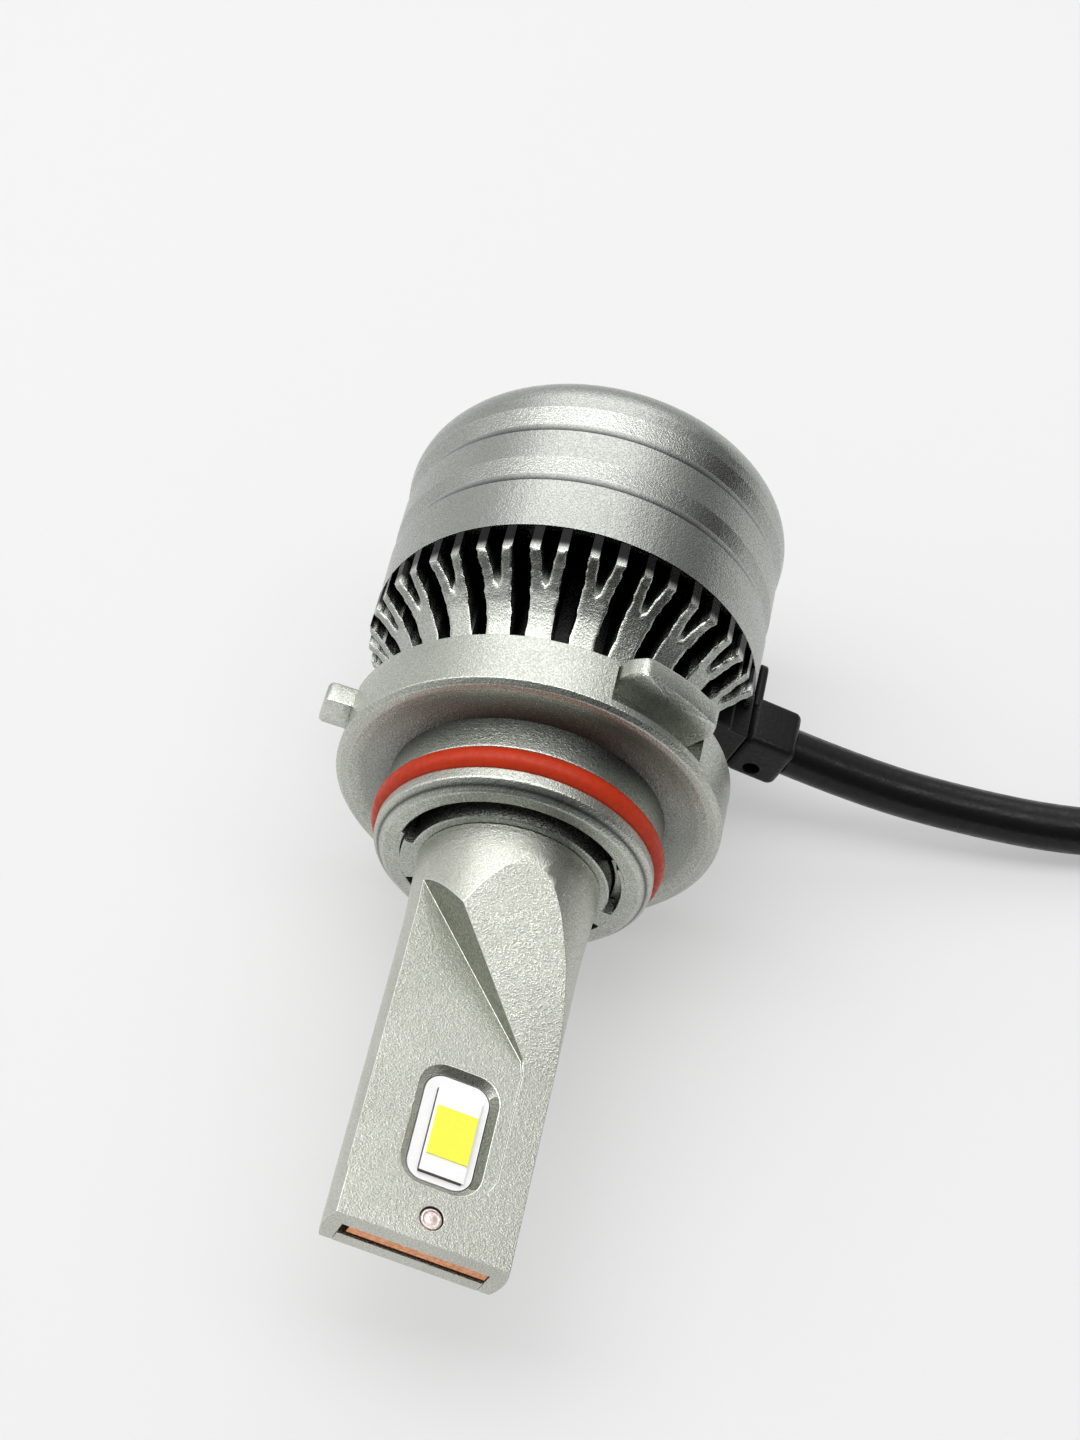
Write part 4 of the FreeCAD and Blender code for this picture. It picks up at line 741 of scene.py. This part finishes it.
def studio_floor():
    """A wide flat sheet under the bulb. Near the bulb half of its light is its own, so shadows stay
    soft. Far away all of it is, at the background's level, so the two meet without a line. Camera,
    mirrored and transmitted rays see that glow, and diffuse rays a weaker one."""
    mesh = bpy.data.meshes.new("floor")
    z = FLOOR_HEIGHT - 0.02 * MM
    corners = [(x * FLOOR_REACH, y * FLOOR_REACH, z) for x, y in ((-1, -1), (1, -1), (1, 1), (-1, 1))]
    mesh.from_pydata(corners, [], [(0, 1, 2, 3)])
    obj = bpy.data.objects.new("floor", mesh)
    scene.collection.objects.link(obj)
    material = bpy.data.materials.new("floor")
    material.use_nodes = True
    graph = Graph(material.node_tree)
    matte = graph.node("ShaderNodeBsdfDiffuse", {"Color": (0.84, 0.84, 0.84, 1)})
    own = graph.node("ShaderNodeEmission", {"Color": (1, 1, 1, 1), "Strength": 1.0})
    place = graph.node("ShaderNodeTexCoord").outputs["Object"]
    distance = graph.node("ShaderNodeVectorMath", {0: place}, operation="LENGTH").outputs["Value"]
    share = graph.ramp(distance, FLOOR_NEAR, FLOOR_FAR, 0.5, 1.0)
    both = graph.node("ShaderNodeMixShader", {0: share, 1: matte.outputs[0], 2: own.outputs[0]})
    seen = sees_background(graph, graph.node("ShaderNodeLightPath").outputs)
    glow = graph.ramp(distance, FLOOR_NEAR, FLOOR_FAR, FLOOR_GLOW, BACKGROUND)
    graph.put(own.inputs["Strength"], graph.ramp(seen, 0.0, 1.0, DIFFUSE_GLOW, glow))
    graph.node("ShaderNodeOutputMaterial", {"Surface": both.outputs[0]})
    mesh.materials.append(material)


def studio_world():
    """A pale surround. The camera sees the plain background. Mirrored and transmitted rays see it
    run from light on one side to dark on the other. Diffuse rays see a softer level."""
    world = bpy.data.worlds.new("surround")
    scene.world = world
    world.use_nodes = True
    graph = Graph(world.node_tree)
    rays = graph.node("ShaderNodeLightPath").outputs
    seen = sees_background(graph, rays)
    ambient = graph.node("ShaderNodeBackground", {"Color": (1, 1, 1, 1), "Strength": AMBIENT})
    direction = graph.node("ShaderNodeTexCoord").outputs["Generated"]
    toward = graph.node("ShaderNodeVectorMath", {0: direction, 1: LIGHT_SIDE}, operation="DOT_PRODUCT")
    mirrored = graph.ramp(toward.outputs["Value"], DARK_ANGLE, 1.0, DARK_SIDE, LIGHT_LEVEL)
    level = graph.math("MAXIMUM", mirrored, rays["Is Camera Ray"])
    pale = graph.node("ShaderNodeBackground", {
        "Color": (BACKGROUND, BACKGROUND, BACKGROUND, 1), "Strength": level,
    })
    both = graph.node("ShaderNodeMixShader", {0: seen, 1: ambient.outputs[0], 2: pale.outputs[0]})
    graph.node("ShaderNodeOutputWorld", {"Surface": both.outputs[0]})


def lamp(name, place, width, length, power):
    """An area lamp aimed at the origin, wide along x; places and sizes in metres, power in watts."""
    data = bpy.data.lights.new(name, "AREA")
    data.shape = "RECTANGLE"
    data.size = width
    data.size_y = length
    data.energy = power
    obj = bpy.data.objects.new(name, data)
    scene.collection.objects.link(obj)
    back = Vector(place).normalized()
    up = back.cross(Vector((1, 0, 0))).normalized()
    stand(obj, place, up.cross(back), up, back)


studio_floor()
studio_world()
lamp("key", (-0.10, 0.0, 0.50), 0.62, 0.24, 1.70)
lamp("rear", (-0.03, 0.42, 0.42), 0.60, 0.40, 1.10)
lamp("facet", (0.25, -0.03, 0.43), 0.16, 0.16, 0.24)
lamp("left", (-0.50, -0.05, 0.25), 0.35, 0.35, 0.40)
print("lamps:", len(bpy.data.lights))

# %% [markdown]
# The stem, the shell and the moulded blocks are cut from many flat and round faces, so their own
# solids carry the shape. A copy gets its loose triangles merged and its edges rounded by a bevel,
# and the rounded edge takes a lighter finish of its own: partly wear, because handling rubs edges
# bright first, and partly a painted highlight.

# %% Softened edges
GROOVE_FRONTS, GROOVE_FLOOR = np.array([21.2, 26.85]), 16.28
STEM_ROLL = math.radians(20.7)
STEP_DIRECTION = np.array([-0.70, -0.664, 0.264])


def groove_shade(places):
    """A negative value of wear and painted light, a painted shade, in the sharp front corners of the
    shell's two grooves.
    """
    radius = np.hypot(places[:, 0], places[:, 2]) / MM
    y = places[:, 1:2] / MM
    corner = np.any(np.abs(y - GROOVE_FRONTS) < 0.04, axis=1)
    return np.where(corner & (np.abs(radius - GROOVE_FLOOR) < 0.1), -0.9, 0.0)


def softened(node, name, body, face, edge, width, angle=28, walls=None, rounded=None):
    """A copy of a solid with every edge sharper than the angle rounded to the width. walls is a
    function that chooses faces by their normals and middles, and the finish that they get, a darker
    one as painted shade. rounded is the angle past which an edge is rounded, where that isn't the
    angle past which it is sharp."""
    mesh = nodes[node].data.copy()
    mesh.name = name
    work = bmesh.new()
    work.from_mesh(mesh)
    bmesh.ops.remove_doubles(work, verts=work.verts, dist=0.001 * MM)
    bmesh.ops.dissolve_limit(work, angle_limit=math.radians(0.6), verts=work.verts, edges=work.edges)
    work.to_mesh(mesh)
    work.free()
    mesh.materials.clear()
    mesh.materials.append(materials[face])
    mesh.materials.append(materials[edge])
    places = np.empty(len(mesh.vertices) * 3)
    mesh.vertices.foreach_get("co", places)
    wear_and_painted_light = mesh.attributes.new("wear_and_painted_light", "FLOAT", "POINT")
    wear_and_painted_light.data.foreach_set("value", groove_shade(places.reshape(-1, 3)).astype(np.float32))
    chosen = np.zeros(len(mesh.polygons), np.int32)
    if walls:
        choose, wall_finish = walls
        facing = np.empty(len(mesh.polygons) * 3)
        middles = np.empty(len(mesh.polygons) * 3)
        mesh.polygons.foreach_get("normal", facing)
        mesh.polygons.foreach_get("center", middles)
        chosen[choose(facing.reshape(-1, 3), middles.reshape(-1, 3) / MM)] = 2
        mesh.materials.append(materials[wall_finish])
    mesh.polygons.foreach_set("material_index", chosen)
    mesh.shade_smooth()
    mesh.set_sharp_from_angle(angle=math.radians(angle))
    obj = bpy.data.objects.new(name, mesh)
    scene.collection.objects.link(obj)
    bevel = obj.modifiers.new("edges", "BEVEL")
    bevel.width = width * MM
    bevel.segments = 3
    bevel.limit_method = "ANGLE"
    bevel.angle_limit = math.radians(rounded or angle)
    bevel.material = 1
    normals = obj.modifiers.new("normals", "WEIGHTED_NORMAL")
    normals.keep_sharp = True
    normals.weight = 90
    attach(obj, body)
    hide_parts(node)
    return obj


def recess_walls(facing, middles):
    """The step round the stem's recessed face: its slanting wall and its wall beside the window, which get
    a darker finish as painted shade.
    """
    sideways = np.array([math.cos(STEM_ROLL), 0, -math.sin(STEM_ROLL)])
    slanting = facing @ STEP_DIRECTION > 0.97
    beside = (facing @ -sideways > 0.6) & (np.abs(middles @ sideways - 3.6) < 1.2)
    return slanting | (beside & (middles[:, 1] < -23))


stem = softened("stem_body", "stem_casting", "bulb", face="stem_aluminium",
                edge="worn_and_highlit_edge_aluminium", width=0.085, angle=12, walls=(recess_walls, "stem_wall_shade"), rounded=27)
outlet = softened("cable_outlet", "outlet_moulding", "bulb", face="plastic_black",
                  edge="plastic_edge_highlit", width=0.2)
shell = softened("head_shell", "shell_turning", "bulb", face="shell_metal",
                 edge="worn_and_highlit_edge_aluminium", width=0.08, angle=8)
for piece in (stem, outlet, shell):
    print(piece.name, "faces:", len(piece.data.polygons))

# %% [markdown]
# Small parts on the stem's face are placed in the stem's own directions: x across the face, h away
# from it, and d from the collar's front land towards the tip. The stem is rolled about the axis, so
# a place is (x cos R + h sin R, -d, h cos R - x sin R).

# %% Light and rivet details
BOARD_TOP = 1.4
PACKAGE_SIDE, PACKAGE_NEAR, PACKAGE_FAR = -1.6, 28.37, 35.37
RIVET_SIDE, RIVET_PLACE = 0.15, 39.2


def on_stem(x, h, d):
    """Points of the stem's own directions, in the frame's."""
    x, h, d = np.broadcast_arrays(x, h, d)
    c, s = math.cos(STEM_ROLL), math.sin(STEM_ROLL)
    return np.stack([x * c + h * s, -d, h * c - x * s], -1) * MM


def plate(surface, low, high):
    """A closed box between two corners, as one strip of rings from the bottom to the top."""
    (x0, h0, d0), (x1, h1, d1) = low, high
    middle_x, middle_d = (x0 + x1) / 2, (d0 + d1) / 2
    xs = np.array([[middle_x] * 4, [x0, x1, x1, x0], [x0, x1, x1, x0], [middle_x] * 4])
    ds = np.array([[middle_d] * 4, [d0, d0, d1, d1], [d0, d0, d1, d1], [middle_d] * 4])
    hs = np.array([[h0] * 4, [h0] * 4, [h1] * 4, [h1] * 4])
    surface.grid(on_stem(xs, hs, ds), wrap=True)


def package_shadows():
    """Dark strips at one side and at the tip end of the light package; the one at the tip end is painted
    shade on the package's end face.
    """
    lines = Surface()
    plate(lines, (PACKAGE_SIDE - 0.05, BOARD_TOP - 0.02, PACKAGE_NEAR),
          (PACKAGE_SIDE + 0.005, BOARD_TOP + 0.255, PACKAGE_FAR))
    plate(lines, (PACKAGE_SIDE, BOARD_TOP - 0.02, PACKAGE_FAR - 0.005),
          (PACKAGE_SIDE + 3.45, BOARD_TOP + 0.22, PACKAGE_FAR + 0.10))
    obj = lines.make("package_dark_strips")
    dress(obj, materials["package_edge_shade"])
    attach(obj, "bulb")


def rivet():
    """The rivet's turned body: a flat head with a rolled rim and a shallow dish in its middle."""
    head = Surface()
    turn = np.linspace(0, math.tau, 40, endpoint=False)
    radii = np.array([0.0, 0.84, 0.84, 0.78, 0.66, 0.60, 0.50, 0.34, 0.0])[:, None]
    heights = np.array([-2.2, -2.2, 2.14, 2.20, 2.21, 2.14, 2.12, 2.16, 2.17])[:, None]
    across, along = radii * np.cos(turn), radii * np.sin(turn)
    head.grid(on_stem(RIVET_SIDE + across, heights, RIVET_PLACE + along), wrap=True)
    obj = head.make("rivet_turning")
    dress(obj, materials["rivet_metal"])
    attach(obj, "bulb")
    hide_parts("tip_rivet")


package_shadows()
rivet()
print("stem details placed")
